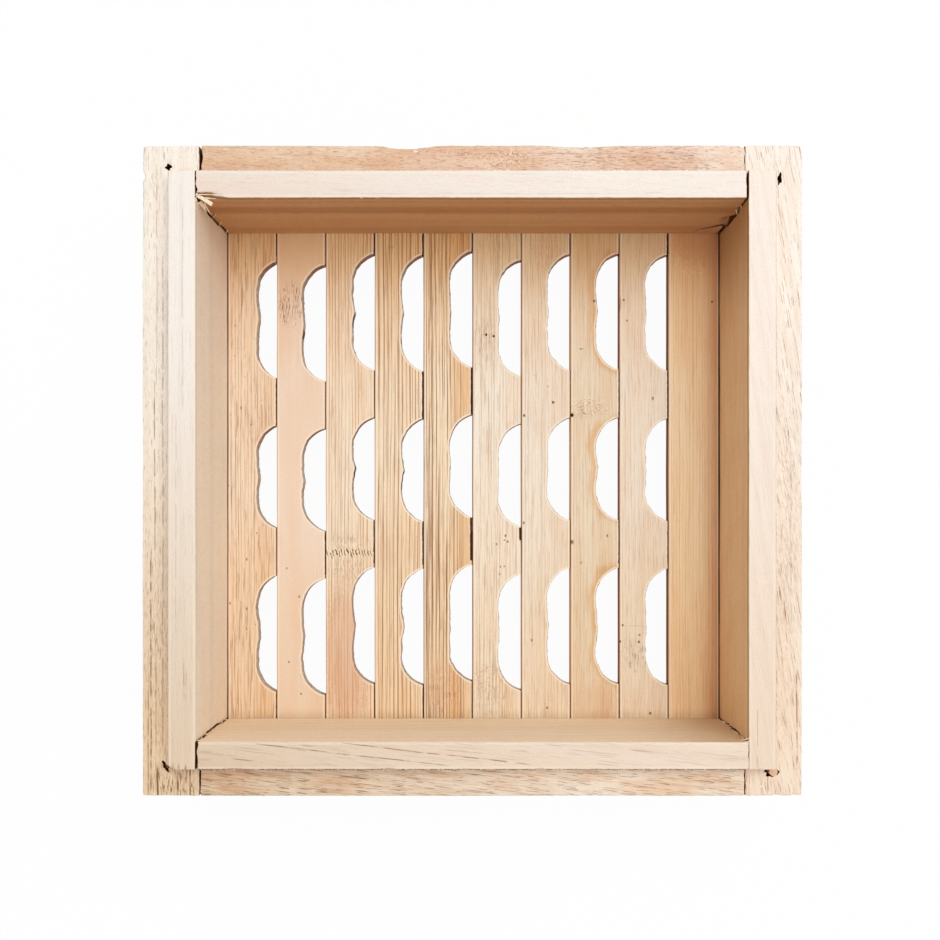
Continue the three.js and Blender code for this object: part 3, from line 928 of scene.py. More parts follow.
    base = wire.paint(base, srgb(255, 246, 228), pale, sawn, look.pale_dashes)
    dash_strength = wire.ramp(along, -half, half * 0.6, look.dashes_near, look.dashes)
    base = wire.paint(base, look.line, torn, sawn, dash_strength)
    base = wire.paint(base, look.line, lip_lines, on_lip, not_inner, look.lip_lines)
    leaning = wire.times_plus(along, LINE_SLOPES.get(name, 0.0), across)
    line_place = wire.join(leaning, along, z)
    for at, start, stop, width, strength in LONG_LINES.get(name, ()):
        line = wire.group(long_line(), place=line_place, at=at, start=start, stop=stop, width=width)["Line"]
        base = wire.paint(base, look.line, line, not_inner, strength)
    base = add_marks(wire, base, place, grain_place, name, seed, wire.times(upward, off_lip))
    base = wire.tint(base, srgb(222, 186, 150), end, 0.35)
    speckle = wire.noise(place, (2.1, 2.1, 2.1), detail=3.0)
    blotches = wire.ramp(wire.noise(place, (0.8, 0.8, 0.22), detail=3.0, roughness=0.7), 0.42, 0.62)
    base = wire.tint(base, srgb(246, 212, 184), blotches, inner, 0.14)
    base = wire.tint(base, srgb(236, 202, 174), wire.ramp(speckle, 0.35, 0.65, 0.0, 0.17))
    base = add_edge_lines(wire, base, from_inner, z, look, inner, speckle)
    # Painted shade on the inner face, low down where it meets the slats
    foot = wire.times(wire.ramp(z, 19.0, 19.4), wire.fall(z, SLAT_TOP / MM + 0.05, SLAT_TOP / MM + 0.3))
    base = wire.paint(base, srgb(134, 78, 34), foot, inner, 0.7)
    beside_joint = wire.times(wire.ramp(from_middle, seam - 0.6, seam - 0.25), inner, 0.55)
    base = wire.paint(base, srgb(158, 102, 54), beside_joint)
    base = wire.paint(base, srgb(112, 60, 26), joint)

    fine = wire.noise(grain_place, (2.6, 0.12, 2.6), detail=3.0, roughness=0.6)
    height = wire.times_plus(torn, -0.6, fine)
    height = wire.times(height, wire.times_plus(on_lip, -0.6, 1.0))
    finish_material(wire, base, wire.ramp(fine, 0.2, 0.8, 0.62, 0.85), height, 0.1 * MM)
    return material


def near_line(wire, away, start, stop):
    """Mask that shows between two distances from a line, in millimetres."""
    return wire.times(wire.ramp(away, start - 0.1, start + 0.05), wire.fall(away, stop - 0.05, stop + 0.2))


# Dark bits on the walls of the steam cuts: place across and along, and half length in millimetres
WALL_BITS = {
    "slat_02": [(-68.4, 57, 2.6)],
    "slat_03": [(-48.6, 63, 3.4), (-47.8, 2, 3.6)],
    "slat_04": [(-28.9, 54.1, 1.6), (-28.9, -1.5, 7)],
    "slat_05": [(-9.5, 2.2, 2.0)],
    "slat_08": [(49.3, 1.8, 3.4)],
}

# Where a slat's right edge is torn away and shows dark: start and stop along, and width in millimetres
EDGE_TEARS = {
    "slat_01": [(20.6, 39.2, 0.14), (89, 98, 0.08), (-98, -88, 0.08)],
    "slat_02": [(-39.5, -22.6, 0.15)],
    "slat_03": [(89.8, 98, 0.15), (-35, -18.1, 0.25)],
    "slat_04": [(89.3, 98, 0.42), (23.3, 41.9, 0.46), (-35.5, -18.6, 0.34), (-98, -84.5, 0.15)],
    "slat_05": [(24.9, 43.5, 0.55), (-33.9, -17.0, 0.8), (90.9, 98, 0.15), (-98, -82.9, 0.1)],
    "slat_06": [(-25.8, -21.0, 0.8)],
    "slat_07": [(89.7, 98, 0.22)],
    "slat_08": [(23.8, 42.4, 0.2), (-35, -18.1, 0.24), (-98, -84, 0.1)],
    "slat_09": [(89.4, 98, 0.5), (23.4, 42, 0.34), (-35.4, -18.5, 0.2)],
}

# Painted shade along the slats: faint from the middle outwards, warm and deeper towards the back wall, and
# darker just before the front wall. Each gives where a tint begins, where it is full, and the tint
END_TINTS = [
    (35, 60, srgb(253, 246, 239)), (60, 97.65, srgb(255, 242, 214)), (-5, -60, srgb(253, 248, 240)),
    (-93, -97.65, srgb(238, 235, 228)),
]


def slat_material(slat, look, seed):
    """Bamboo strip: fine fibres, stripes, dots, marks, an amber or dark right edge and rough cut walls, with
    painted shade and highlights at its ends, edges, gaps and cuts.
    """
    material, wire, place = new_material(slat + "_bamboo")
    fibres = wire.group(bamboo_fibres(), place=place, spacing=look.spacing, seed=float(seed))
    dots = wire.group(
        pin_dots(), place=place, cell=(2.2, 4.5, 60.0), radius=0.06, share=look.dots * 0.5, seed=float(seed),
    )["Dots"]
    base = look.skin
    tone = wire.ramp(wire.noise(place, (0.12, 0.02, 0.1), detail=3.0), 0.35, 0.65)
    base = wire.tint(base, srgb(250, 228, 206), tone, 0.35)
    base = wire.paint(base, look.line, fibres["Stripes"], look.stripes * 0.5)
    base = wire.paint(base, srgb(255, 244, 222), fibres["Pale"], look.lines * 0.5)
    base = wire.paint(base, look.line, fibres["Fine"], look.fine * 0.6)
    base = wire.paint(base, look.line, fibres["Lines"], look.lines * 0.85)
    base = wire.paint(base, look.line, fibres["Threads"], look.threads)
    grain = wire.ramp(fibres["Grain"], 0.35, 0.65, 0.0, 0.16)
    base = wire.tint(base, srgb(236, 174, 126), grain)

    low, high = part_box(slat)
    x, y, _ = wire.split(place)
    from_left = wire.minus(x, low.x / MM)
    from_edge = wire.minus(high.x / MM, x)
    swaying = wire.times_plus(wire.noise(place, (0.3, 0.05, 0.3)), 4.0, from_edge)
    stained = wire.fall(swaying, look.depth, look.depth + 4.0)
    fading = wire.ramp(wire.noise(place, (0.15, 0.03, 0.1)), 0.3, 0.7, 0.3, 0.8)
    base = wire.paint(base, srgb(238, 188, 134), stained, fading, look.amber)
    from_cut = wire.mask("from_cut")
    if look.rim > 0:
        wavering = wire.times_plus(wire.noise(place, (0.2, 0.06, 0.2), detail=3.0), -9.0, from_cut)
        base = wire.tint(base, srgb(240, 206, 156), wire.fall(wavering, -4.2, -0.6), look.rim)
    # Painted shadow of the right wall over the right edge's last millimetres
    shade = wire.fall(from_edge, 0.0, 8.0)
    base = wire.tint(base, srgb(196, 136, 84), shade, look.shade)
    # Painted shade along the slat, towards the back and the front wall
    for start, stop, tint in END_TINTS:
        base = wire.tint(base, tint, wire.ramp(y, start, stop))

    # Painted highlight along the steam cut's edge, and painted shade right at the edge
    base = wire.paint(base, srgb(255, 243, 224), near_line(wire, from_cut, 0.28, 0.75), 0.75)
    base = wire.paint(base, srgb(160, 112, 74), wire.ramp(from_cut, 0.1, 0.26, 0.35, 0.0))
    wall_tone = wire.noise(place, (0.5, 0.5, 1.2), detail=3.0)
    wall = wire.mix(wire.ramp(wall_tone, 0.4, 0.6), srgb(240, 220, 194), srgb(206, 180, 152))
    wall = wire.paint(wall, srgb(96, 68, 48), wire.ramp(wall_tone, 0.64, 0.7))
    for bit_x, bit_y, half_length in WALL_BITS.get(slat, ()):
        half_sizes = {"half_width": 1.6, "half_length": half_length}
        bit = wire.group(oval(), place=place, x=bit_x, y=bit_y, **half_sizes)["Oval"]
        wall = wire.paint(wall, srgb(62, 38, 28), bit)
    # Painted shade: cut walls that face the front, away from the key lamp, are darker and more orange
    facing_front = wire.times(wire.split(wire.add("ShaderNodeNewGeometry").outputs["Normal"])[1], -1.0)
    wall = wire.tint(wall, srgb(206, 148, 106), wire.ramp(facing_front, 0.0, 0.8))
    base = wire.paint(base, wall, wire.mask("cut_wall"))
    # Pale line near both edges: partly wear, partly painted highlight
    worn = wire.most(near_line(wire, from_left, 0.3, 0.8), near_line(wire, from_edge, 0.3, 0.8))
    base = wire.paint(base, srgb(255, 244, 224), worn, 0.6)
    # Painted shade: a brown line on the top, right beside each gap
    beside_gap = wire.ramp(wire.least(from_left, from_edge), 0.1, 0.4, 0.45, 0.0)
    base = wire.paint(base, srgb(196, 124, 58), beside_gap)
    base = add_marks(wire, base, place, place, slat, seed, 1.0)
    base = wire.paint(base, MARK_COLOURS["dots"], dots, 0.7)
    for start, stop, width in EDGE_TEARS.get(slat, ()):
        ragged = wire.times_plus(wire.noise(place, (1.2, 0.5, 1.2), detail=3.0), 0.6, from_edge)
        lost = wire.times(
            wire.fall(ragged, width + 0.25, width + 0.35), wire.ramp(y, start - 0.4, start),
            wire.fall(y, stop, stop + 0.4),
        )
        base = wire.paint(base, srgb(78, 36, 8), lost)
    # Painted shade on the side faces, deep in the gaps beside the slat
    base = wire.paint(base, look.gap, wire.mask("hidden_edge"))

    height = wire.times_plus(fibres["Lines"], -0.5, wire.times(fibres["Grain"], 0.5))
    height = wire.times_plus(dots, -0.8, height)
    finish_material(wire, base, wire.ramp(fibres["Grain"], 0.2, 0.8, 0.48, 0.66), height, 0.07 * MM)
    return material


def pin_material():
    """Cut end of a bamboo pin: tan, with the dark dots of its vessels."""
    material, wire, place = new_material("cut_pin_bamboo")
    dots = wire.group(pin_dots(), place=place, cell=(0.35, 0.35, 4.0), radius=0.2, share=0.5)["Dots"]
    tone = wire.noise(place, (0.9, 0.9, 0.2), detail=3.0)
    base = wire.mix(tone, srgb(214, 166, 130), srgb(250, 216, 184))
    base = wire.paint(base, srgb(110, 66, 38), dots, 0.6)
    height = wire.minus(wire.times(tone, 0.6), wire.times(dots, 0.5))
    finish_material(wire, base, wire.ramp(tone, 0.2, 0.8, 0.6, 0.85), height, 0.1 * MM)
    return material


def splinter_material():
    """Torn fibres: the palest wood, with a few brown lines along them."""
    material, wire, place = new_material("torn_fibre")
    tone = wire.noise(place, (1.8, 1.8, 1.8), detail=3.0)
    base = wire.mix(wire.ramp(tone, 0.48, 0.7), srgb(253, 236, 210), srgb(226, 190, 150))
    finish_material(wire, base, wire.ramp(tone, 0.2, 0.8, 0.65, 0.85), tone, 0.1 * MM)
    return material


# Boards

# Corner joints: how far the board that ends there stops short, at the lip, the shelf and two heights inside
CORNER_GAPS = {
    ("back", "left"): {"lip": -0.15 * MM, "shelf": 0.7 * MM, "middle": 0.35 * MM, "low": 0.3 * MM},
    ("back", "right"): {"lip": 0.32 * MM, "shelf": -0.2 * MM, "middle": 0.7 * MM, "low": 0.4 * MM},
    ("front", "right"): {"lip": -0.45 * MM, "shelf": -0.1 * MM, "middle": 0.25 * MM, "low": 0.3 * MM},
    ("front", "left"): {"lip": 0.55 * MM, "shelf": 0.2 * MM, "middle": 0.3 * MM, "low": 0.4 * MM},
}

# Chips and knocks of each board: the place, how far they reach each way, and how far the wood is pushed in
KNOCKS = {
    "back_board": [
        ((-23, 118.35, 66), (12, 3, 4), (0, -1.3, -0.3)), ((40, 118.35, 66), (16, 2.5, 3), (0, -0.6, -0.1)),
        ((99, 118.35, 66), (2.5, 2, 3), (0, -1.0, 0)), ((-96, 97.65, 72), (10, 2.4, 3.2), (0, 1.1, -1.0)),
        ((-98.6, 97.65, 69), (3, 2.5, 5), (0, 1.0, -0.4)), ((-99.3, 100.6, 71), (1.7, 1.9, 4), (0.7, 0, 0)),
        ((-99.3, 104.3, 71), (1.5, 0.9, 4), (0.4, 0, 0)), ((99.3, 97.65, 42.5), (4.5, 3, 6.5), (0, 2.6, 0)),
    ],
    "left_board": [
        ((-120, 107.5, 66), (2.6, 2.2, 3), (0.9, 0, 0)),
        ((-120, 118.35, 62), (2.5, 2.5, 14), (0.4, -0.4, 0)),
        ((-120, -118.35, 62), (2.5, 2.5, 14), (0.2, 0.2, 0)),
        ((-109, -107.65, 72), (3, 2.2, 3), (0.5, 0.5, -0.4)),
    ],
    "right_board": [
        ((120, -118.35, 62), (2.5, 2.5, 14), (-0.3, 0.3, 0)),
        ((120, 118.35, 62), (2.5, 2.5, 14), (-0.3, -0.3, 0)),
        ((110.6, -118.35, 66), (1.6, 1.6, 2), (0, 0.7, -0.3)),
        ((117.4, -118.35, 66), (1.6, 1.4, 2), (0, 0.5, -0.3)),
    ],
    "front_board": [
        ((-86, -107.65, 72), (6, 1.6, 2), (0, 0.5, -0.3)),
        ((-30, -107.65, 72), (4, 1.5, 2), (0, 0.5, -0.2)),
        ((25, -107.65, 72), (2.5, 1.5, 2), (0, 0.6, -0.2)),
    ],
}


def bridge_places():
    """Middle of each bridge between two rows of steam cuts, from the front to the back."""
    return [(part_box(name)[0].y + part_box(name)[1].y) / 2 for name in ("crossbar_front", "crossbar_back")]


def finger_joints(sizes):
    """Heights of the joints between the fingers, from the lowest to the highest."""
    highest = WALL_TOP - sizes.top_finger
    return [highest - 2 * sizes.finger_height, highest - sizes.finger_height, highest]


def wall_lattice(sizes, side, is_side_board):
    """The sharp-edged board: plank, fingers, rebate, stacking recess, and its groove or its mortises."""
    shelf = WALL_TOP - sizes.lip_height
    recess = sizes.lip_height + sizes.stack_clearance
    room = sizes.lip_width + sizes.stack_clearance
    lip_x, lip_y = INNER_X + sizes.lip_width, INNER_Y + sizes.lip_width
    recess_x, recess_y = INNER_X + room, INNER_Y + room
    bar_low, bar_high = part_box("crossbar_front")
    half_bar = (bar_high.y - bar_low.y) / 2 + sizes.fit_clearance
    bridges = bridge_places()
    fine, middling, tall = 1.0 * MM, 1.5 * MM, 1.9 * MM
    shrink = sizes.joint_gap / 2 if is_side_board else -sizes.joint_gap / 2
    fingers = [joint + way * shrink for joint, way in zip(finger_joints(sizes), (1, -1, 1))]

    if is_side_board:
        pocket_low, pocket_top = bar_low.z, SLAT_BOTTOM + sizes.fit_clearance
        across = spread(INNER_X, (INNER_X + sizes.mortise_depth, fine), (lip_x, fine), (recess_x, fine),
                        (HALF_WIDTH, middling))
        ends = [INNER_Y - sizes.joint_gap, lip_y, recess_y, HALF_DEPTH]
        bars = sorted(y + edge for y in bridges for edge in (-half_bar, half_bar))
        stops = [-end for end in reversed(ends)] + bars + ends
        xs, ys = np.sort(across * side), spread(stops[0], *[(stop, fine) for stop in stops[1:]])
    else:
        pocket_low, pocket_top = SLAT_BOTTOM, SLAT_TOP + sizes.fit_clearance
        across = spread(INNER_Y, (INNER_Y + sizes.groove_depth, fine), (lip_y, fine), (recess_y, fine),
                        (HALF_DEPTH, middling))
        seam = INNER_X - sizes.joint_gap
        xs = spread(-HALF_WIDTH, (-seam, middling), (seam, fine), (HALF_WIDTH, middling))
        ys = np.sort(across * side)
    heights = sorted([recess, pocket_low, fingers[0], pocket_top, *fingers[1:], shelf, WALL_TOP])
    zs = spread(0, *[(height, tall) for height in heights])

    def filled(x, y, z):
        wide, deep = np.abs(x), np.abs(y)
        rebate = (z > shelf) & ((wide > lip_x) | (deep > lip_y))
        hollow = (z < recess) & (wide < recess_x) & (deep < recess_y)
        in_pocket = (z > pocket_low) & (z < pocket_top)
        owned = np.searchsorted(fingers, z) % 2 == (1 if is_side_board else 0)
        if is_side_board:
            notch = (deep > INNER_Y - sizes.joint_gap) & ~owned
            near_bar = np.any([np.abs(y - bridge) < half_bar for bridge in bridges], axis=0)
            pocket = near_bar & (wide < INNER_X + sizes.mortise_depth) & in_pocket
        else:
            notch = (wide > INNER_X - sizes.joint_gap) & ~owned
            pocket = (deep < INNER_Y + sizes.groove_depth) & (wide < INNER_X) & in_pocket
        return ~(rebate | hollow | notch | pocket)

    return lattice(xs, ys, zs, filled)


def pull_back(points, axis, end, seam, low, high, amount, seed):
    """Moves an end face between two heights back from its seam, and the wood just before it less."""
    reach, soft = 2.5 * MM, MM
    heights = points[:, 2]
    between = ease(heights, low + 0.1 * MM, low + soft) * ease(-heights, 0.1 * MM - high, soft - high)
    outward = points[:, axis] * end
    near = ease(outward, seam - reach, seam) * (outward < seam + 0.1 * MM)
    ragged = 1 + 0.6 * ripple(points, 2.9 * MM, seed) + 0.5 * ripple(points, 1.3 * MM, seed + 50)
    points[:, axis] -= end * amount * np.maximum(ragged, 0.1) * between * near


def open_joints(points, name, is_side_board, sizes):
    """Opens the corner joints of one board, each by its own amounts."""
    low_joint, middle_joint, high_joint = finger_joints(sizes)
    axis, inner = (1, INNER_Y) if is_side_board else (0, INNER_X)
    seam = inner - sizes.joint_gap
    lip_edge = INNER_Y + sizes.lip_width
    for index, (corner, gaps) in enumerate(CORNER_GAPS.items()):
        end_name, side_name = corner
        own, other = (side_name, end_name) if is_side_board else (end_name, side_name)
        if name != own + "_board":
            continue
        end = SIDES[other]
        if is_side_board:
            pull_back(points, axis, end, seam, middle_joint, high_joint, gaps["middle"], 400 + index)
            pull_back(points, axis, end, seam, -MM, low_joint, gaps["low"] * 0.5, 410 + index)
        else:
            over_lip = ease(-np.abs(points[:, 1]), -lip_edge - MM, 0.2 * MM - lip_edge)
            top = gaps["shelf"] + (gaps["lip"] - gaps["shelf"]) * over_lip
            pull_back(points, axis, end, seam, high_joint, WALL_TOP + 3 * MM, top, 420 + index)
            pull_back(points, axis, end, seam, low_joint, middle_joint, gaps["low"], 430 + index)


def knock(points, board):
    """Pushes the wood in at each chip and knock of the board."""
    knocks = [(name, *knock) for name, places in KNOCKS.items() for knock in places]
    for index, (name, centre, radii, push) in enumerate(knocks):
        if name != board:
            continue
        away = np.linalg.norm((points / MM - centre) / radii, axis=1)
        rough = 1 + 0.35 * ripple(points, 1.6 * MM, 70 + index)
        weight = np.where(away < 1, (1 - away**2) ** 2, 0) * rough
        points += weight[:, None] * np.array(push) * MM


def roughen(points, normals, arris, sizes, grain_axis, seed):
    """Lets the board wander from straight, ripples its sawn faces and tears the fibres along its arrises."""
    stretch = np.array([1.4, 1.4, 1.4]) * MM
    stretch[grain_axis] = 9 * MM
    shelf = WALL_TOP - sizes.lip_height
    on_lip = ease(points[:, 2], shelf + MM, shelf + 3 * MM)
    warp = sizes.board_warp * ripple(points, 38 * MM, seed)
    saw = sizes.saw_ripple * ripple(points, stretch, seed + 1) * (1 - 0.6 * on_lip)
    torn = ripple(points, 1.1 * MM, seed + 2) + 0.8 * ripple(points, 2.7 * MM, seed + 3)
    chips = np.minimum(ripple(points, 4.5 * MM, seed + 4) + 0.45, 0) * 1.5
    fuzz = sizes.fuzz_height * arris * (torn + chips)
    points += normals * (warp + saw + fuzz)[:, None]


# How far the top of a pin leans from its place, and how much higher it is left, in millimetres
PIN_LEANS = {"corner_pin_front_right": (0.9, 0.4, 1.6)}

# Ragged mouths of the pin holes: half width and half depth in millimetres, turn in degrees, how far the
# outline stands out in points, and shift in millimetres
HOLE_MOUTHS = {
    "corner_pin_back_left": (1.25, 1.25, 20, 0.3, (0, 0)),
    "corner_pin_back_right": (0.8, 2.0, -6, 0.22, (0, 0)),
    "corner_pin_front_right": (2.25, 1.95, 0, 0.1, (0.25, 0.35)),
    "corner_pin_front_left": (0.95, 2.0, 35, 0.15, (0, 0)),
}
HOLE_SIDES = 26


def hole_cutter(pin, sizes):
    """A rough shaft around a corner pin, with a ragged mouth at the shelf."""
    low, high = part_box(pin)
    middle = np.array((low + high) / 2)
    half_width, half_depth, turn, star, shift = HOLE_MOUTHS[pin]
    shaft = (high.x - low.x) / 2 / MM + 0.3
    shelf = WALL_TOP - sizes.lip_height
    depths = [(6, 0), (3, 0.3), (1.4, 0.8), (0.6, 1), (-1, 1), (-6, 1)]
    levels = [(low.z - 0.3 * MM, 0)] + [(shelf - depth * MM, mouth) for depth, mouth in depths]
    angle = np.linspace(0, 2 * math.pi, HOLE_SIDES, endpoint=False)
    cos, sin = math.cos(math.radians(turn)), math.sin(math.radians(turn))
    rings = []
    for level, mouth in levels:
        pointed = 1 + star * mouth * np.cos(4 * angle + 1)
        x = np.cos(angle) * (shaft + (half_width - shaft) * mouth) * pointed
        y = np.sin(angle) * (shaft + (half_depth - shaft) * mouth) * pointed
        ring = np.column_stack([x * cos - y * sin, x * sin + y * cos, np.zeros(HOLE_SIDES)]) * MM
        ragged = 1 + 0.35 * mouth * ripple(ring + middle, 0.7 * MM, 31)
        ring[:, :2] = ring[:, :2] * ragged[:, None] + middle[:2] + np.array(shift) * mouth * MM
        ring[:, 2] = level
        rings.append(ring)
    return add_object("cutter_" + pin, *skin(np.array(rings)))


def cut_pin_holes(body, sizes):
    low, high = read_points(body).min(axis=0), read_points(body).max(axis=0)
    for pin in HOLE_MOUTHS:
        pin_low, pin_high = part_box(pin)
        if (np.array(pin_high) > low).all() and (np.array(pin_low) < high).all():
            cutter = hole_cutter(pin, sizes)
            apply_modifier(body, "BOOLEAN", object=cutter, operation="DIFFERENCE", solver="EXACT")
            bpy.data.objects.remove(cutter)


def back_wall_flake(material):
    """A flake of wood that has come loose low on the back wall, near its right end."""
    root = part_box("back_board")[0].y / MM
    rings = []
    for part in np.linspace(0, 1, 11):
        across = 88.4 + 9.3 * part
        top = 26.8 + 11 * part**0.9
        bottom = 26.4 - 3.4 * part**0.7
        lift = 0.15 + 0.85 * part
        middle = (top + bottom) / 2
        outline = [
            (root + 0.3, bottom), (root - 0.25, bottom), (root - lift, middle), (root - lift - 0.15, top),
            (root - lift + 0.25, top), (root + 0.3, middle),
        ]
        rings.append([(across, depth, height) for depth, height in outline])
    points = np.array(rings) * MM
    flat = points.reshape(-1, 3)
    flat[:, 2] += 0.3 * MM * ripple(flat, 1.5 * MM, 91)
    body = add_object("back_wall_flake", *skin(points))
    finish_piece(body, material, "board_wood")


def build_board(name, seed):
    basket = bpy.context.scene.basket
    sizes = basket.sizes
    side = SIDES[name.removesuffix("_board")]
    is_side_board = name in ("left_board", "right_board")
    body = add_object(name + "_wood", *wall_lattice(sizes, side, is_side_board))
    even = {"use_clamp_overlap": False, "loop_slide": False}
    points, normals, arris = round_arrises(body, sizes.arris_width, **even)
    roughen(points, normals, arris, sizes, 1 if is_side_board else 0, seed)
    open_joints(points, name, is_side_board, sizes)
    knock(points, name)
    write_points(body, points)
    cut_pin_holes(body, sizes)
    inward = (-float(side), 0.0, 0.0) if is_side_board else (0.0, -float(side), 0.0)
    material = board_material(name, basket.boards[name], inward, not is_side_board, seed)
    finish_piece(body, material, "board_wood", name)
    if name == "back_board":
        back_wall_flake(material)


# Slats

def cut_depth(away, cut_length, depth, cusp, radius):
    """How far a steam cut reaches in, at each distance from its middle: end arcs, two lobes between."""
    out = radius - depth
    arc_middle = cut_length / 2 - math.sqrt(radius**2 - out**2)
    lobe_radius = (arc_middle**2 + cusp**2) / (2 * cusp)
    ends = np.sqrt(np.maximum(radius**2 - (away - arc_middle) ** 2, 0)) - out
    inside = np.minimum(np.maximum(arc_middle - away, 0), lobe_radius)
    lobes = depth - (lobe_radius - np.sqrt(lobe_radius**2 - inside**2))
    reach = np.where(away > arc_middle, ends, lobes)
    return np.where(away < cut_length / 2, np.maximum(reach, 0), 0)


def cut_rows(sizes, shift):
    """Middle and length of each of a slat's three cuts, from the front to the back."""
    pitch = (2 * INNER_Y - sizes.end_cut_length - sizes.back_zone - sizes.front_zone) / 2
    first = -INNER_Y + sizes.front_zone + sizes.end_cut_length / 2 + shift
    lengths = (sizes.end_cut_length, sizes.middle_cut_length, sizes.end_cut_length)
    return [(first + row * pitch, cut_length) for row, cut_length in enumerate(lengths)]


def slat_stations(rows):
    """Places along a slat: close together at the mouths and arcs of the cuts, wider apart elsewhere."""
    fine, middling, coarse = 0.3 * MM, 0.6 * MM, 2.0 * MM
    arc = 6 * MM
    runs = []
    for middle, cut_length in rows:
        start, stop = middle - cut_length / 2, middle + cut_length / 2
        runs += [(start, coarse), (start + arc, fine), (stop - arc, middling), (stop, fine)]
    return spread(-SLAT_END, *runs, (SLAT_END, coarse))


# How much nearer a slat's left edge is to its neighbour than in the CAD, and how far its foot stands out
SLAT_CREEP = 0.08 * MM
SLAT_FOOT = 0.26 * MM

# How far in the middle of a quarter arc lies, as a share of its radius
ARC_INSET = 0.29


def slat_section(left, right, roundness):
    """One section of a slat, counter-clockwise seen from the front. Its foot darkens the gap."""
    top, bottom = SLAT_TOP, SLAT_BOTTOM
    soft = 0.3 * MM
    half_soft = soft * ARC_INSET
    round_part = roundness * ARC_INSET
    foot = left - SLAT_FOOT
    points = [(x, bottom) for x in np.linspace(right - roundness, foot + soft, 9)]
    points += [(foot + half_soft, bottom + half_soft), (foot, bottom + soft), (foot, (bottom + top) / 2)]
    points += [(left, top - 4 * soft), (left, top - soft), (left + half_soft, top - half_soft)]
    points += [(x, top) for x in np.linspace(left + soft, right - roundness, 13)]
    points += [(right - round_part, top - round_part), (right, top - roundness)]
    for part in (0.25, 0.5, 0.75):
        points.append((right, top - roundness + (bottom + 2 * roundness - top) * part))
    points += [(right, bottom + roundness), (right - round_part, bottom + round_part)]
    return np.array(points)


def cut_reach(index, look, sizes, stations):
    """How far the steam cuts of a slat reach in at each station, each cut a little uneven."""
    along = np.column_stack([stations, np.zeros(len(stations)), np.zeros(len(stations))])
    reach = np.zeros(len(stations))
    for row, (middle, cut_length) in enumerate(cut_rows(sizes, look.shift * MM)):
        away = np.abs(stations - middle)
        depth = cut_depth(away, cut_length, look.depth * MM, look.cusp * MM, sizes.cut_radius)
        hand = 0.2 * MM * ripple(along, 3.5 * MM, index * 5 + row)
        hand += 0.12 * MM * ripple(along, 1.2 * MM, index * 3 + row)
        reach += np.where(depth > 0, depth + hand * ease(depth, 0, 3 * MM), 0)
    return reach


def distances(points, edge, stations, in_cut):
    """How far each point lies from the outline of the steam cuts, seen from above, in millimetres."""
    nearest = np.full(len(points), 50 * MM)
    for x, y in zip(edge[in_cut], stations[in_cut]):
        nearest = np.minimum(nearest, np.hypot(points[:, 0] - x, points[:, 1] - y))
    return nearest / MM


def build_slat(index):
    basket = bpy.context.scene.basket
    sizes, look = basket.sizes, basket.slats[index]
    name = f"slat_{index + 1:02d}"
    low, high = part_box(name)
    is_last = index == SLAT_COUNT - 1
    if is_last:
        stations = spread(-SLAT_END, (SLAT_END, MM))
        reach = np.zeros(len(stations))
    else:
        stations = slat_stations(cut_rows(sizes, look.shift * MM))
        reach = cut_reach(index, look, sizes, stations)
    roundness = (0.8 if is_last else 0.22) * MM
    rings, from_wall, in_cut = [], [], []
    for y, cut in zip(stations, reach):
        section = slat_section(low.x - SLAT_CREEP, high.x - cut, roundness)
        rings.append(np.column_stack([section[:, 0], np.full(len(section), y), section[:, 1]]))
        from_wall.append(high.x - cut - section[:, 0])
        in_cut.append(np.full(len(section), cut > 0.3 * MM))
    points, faces = skin(np.array(rings))
    from_wall, in_cut = np.concatenate(from_wall), np.concatenate(in_cut)
    at_wall = (from_wall < 0.02 * MM) & in_cut
    sideways = np.maximum(low.x - points[:, 0], points[:, 0] - high.x)
    hidden_edge = (sideways > -0.02 * MM) & (points[:, 2] < SLAT_TOP - 0.3 * MM)
    body = add_object(name + "_bamboo", points, faces)
    seed = 200 + index * 10
    points[:, 2] += 0.05 * MM * ripple(points, np.array([1.2, 14, 3]) * MM, seed)
    points[:, 2] += 0.1 * MM * ripple(points, 60 * MM, seed + 1)
    torn = ripple(points, 0.8 * MM, seed + 2) + 0.7 * ripple(points, 2.2 * MM, seed + 3)
    points[:, 0] += sizes.cut_burr * torn * at_wall
    points[:, 0] += 0.08 * MM * ripple(points, (4 * MM, 22 * MM, 50 * MM), seed + 4)
    write_points(body, points)
    write_mask(body, "hidden_edge", hidden_edge)
    write_mask(body, "cut_wall", at_wall)
    write_mask(body, "from_cut", distances(points, high.x - reach, stations, reach > 0))
    finish_piece(body, slat_material(name, look, index), "slat_bamboo", name)


# Crossbars, pins and splinters

def build_crossbar(name, seed):
    low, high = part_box(name)
    lines = [spread(low[axis], (high[axis], 2 * MM)) for axis in range(3)]
    body = add_object(name + "_wood", *lattice(*lines, lambda x, y, z: np.ones_like(x, dtype=bool)))
    points, normals, arris = round_arrises(body, 0.4 * MM)
    saw = 0.1 * MM * ripple(points, (10 * MM, 1.4 * MM, 1.4 * MM), seed)
    fuzz = 0.15 * MM * arris * ripple(points, 1.5 * MM, seed + 1)
    clear_of_slats = points[:, 2] < high.z - MM
    points += normals * ((saw + fuzz) * clear_of_slats)[:, None]
    write_points(body, points)
    look = bpy.context.scene.basket.boards["front_board"]
    material = board_material(name, look, (0.0, 0.0, -1.0), True, seed)
    finish_piece(body, material, "bar_wood", name)


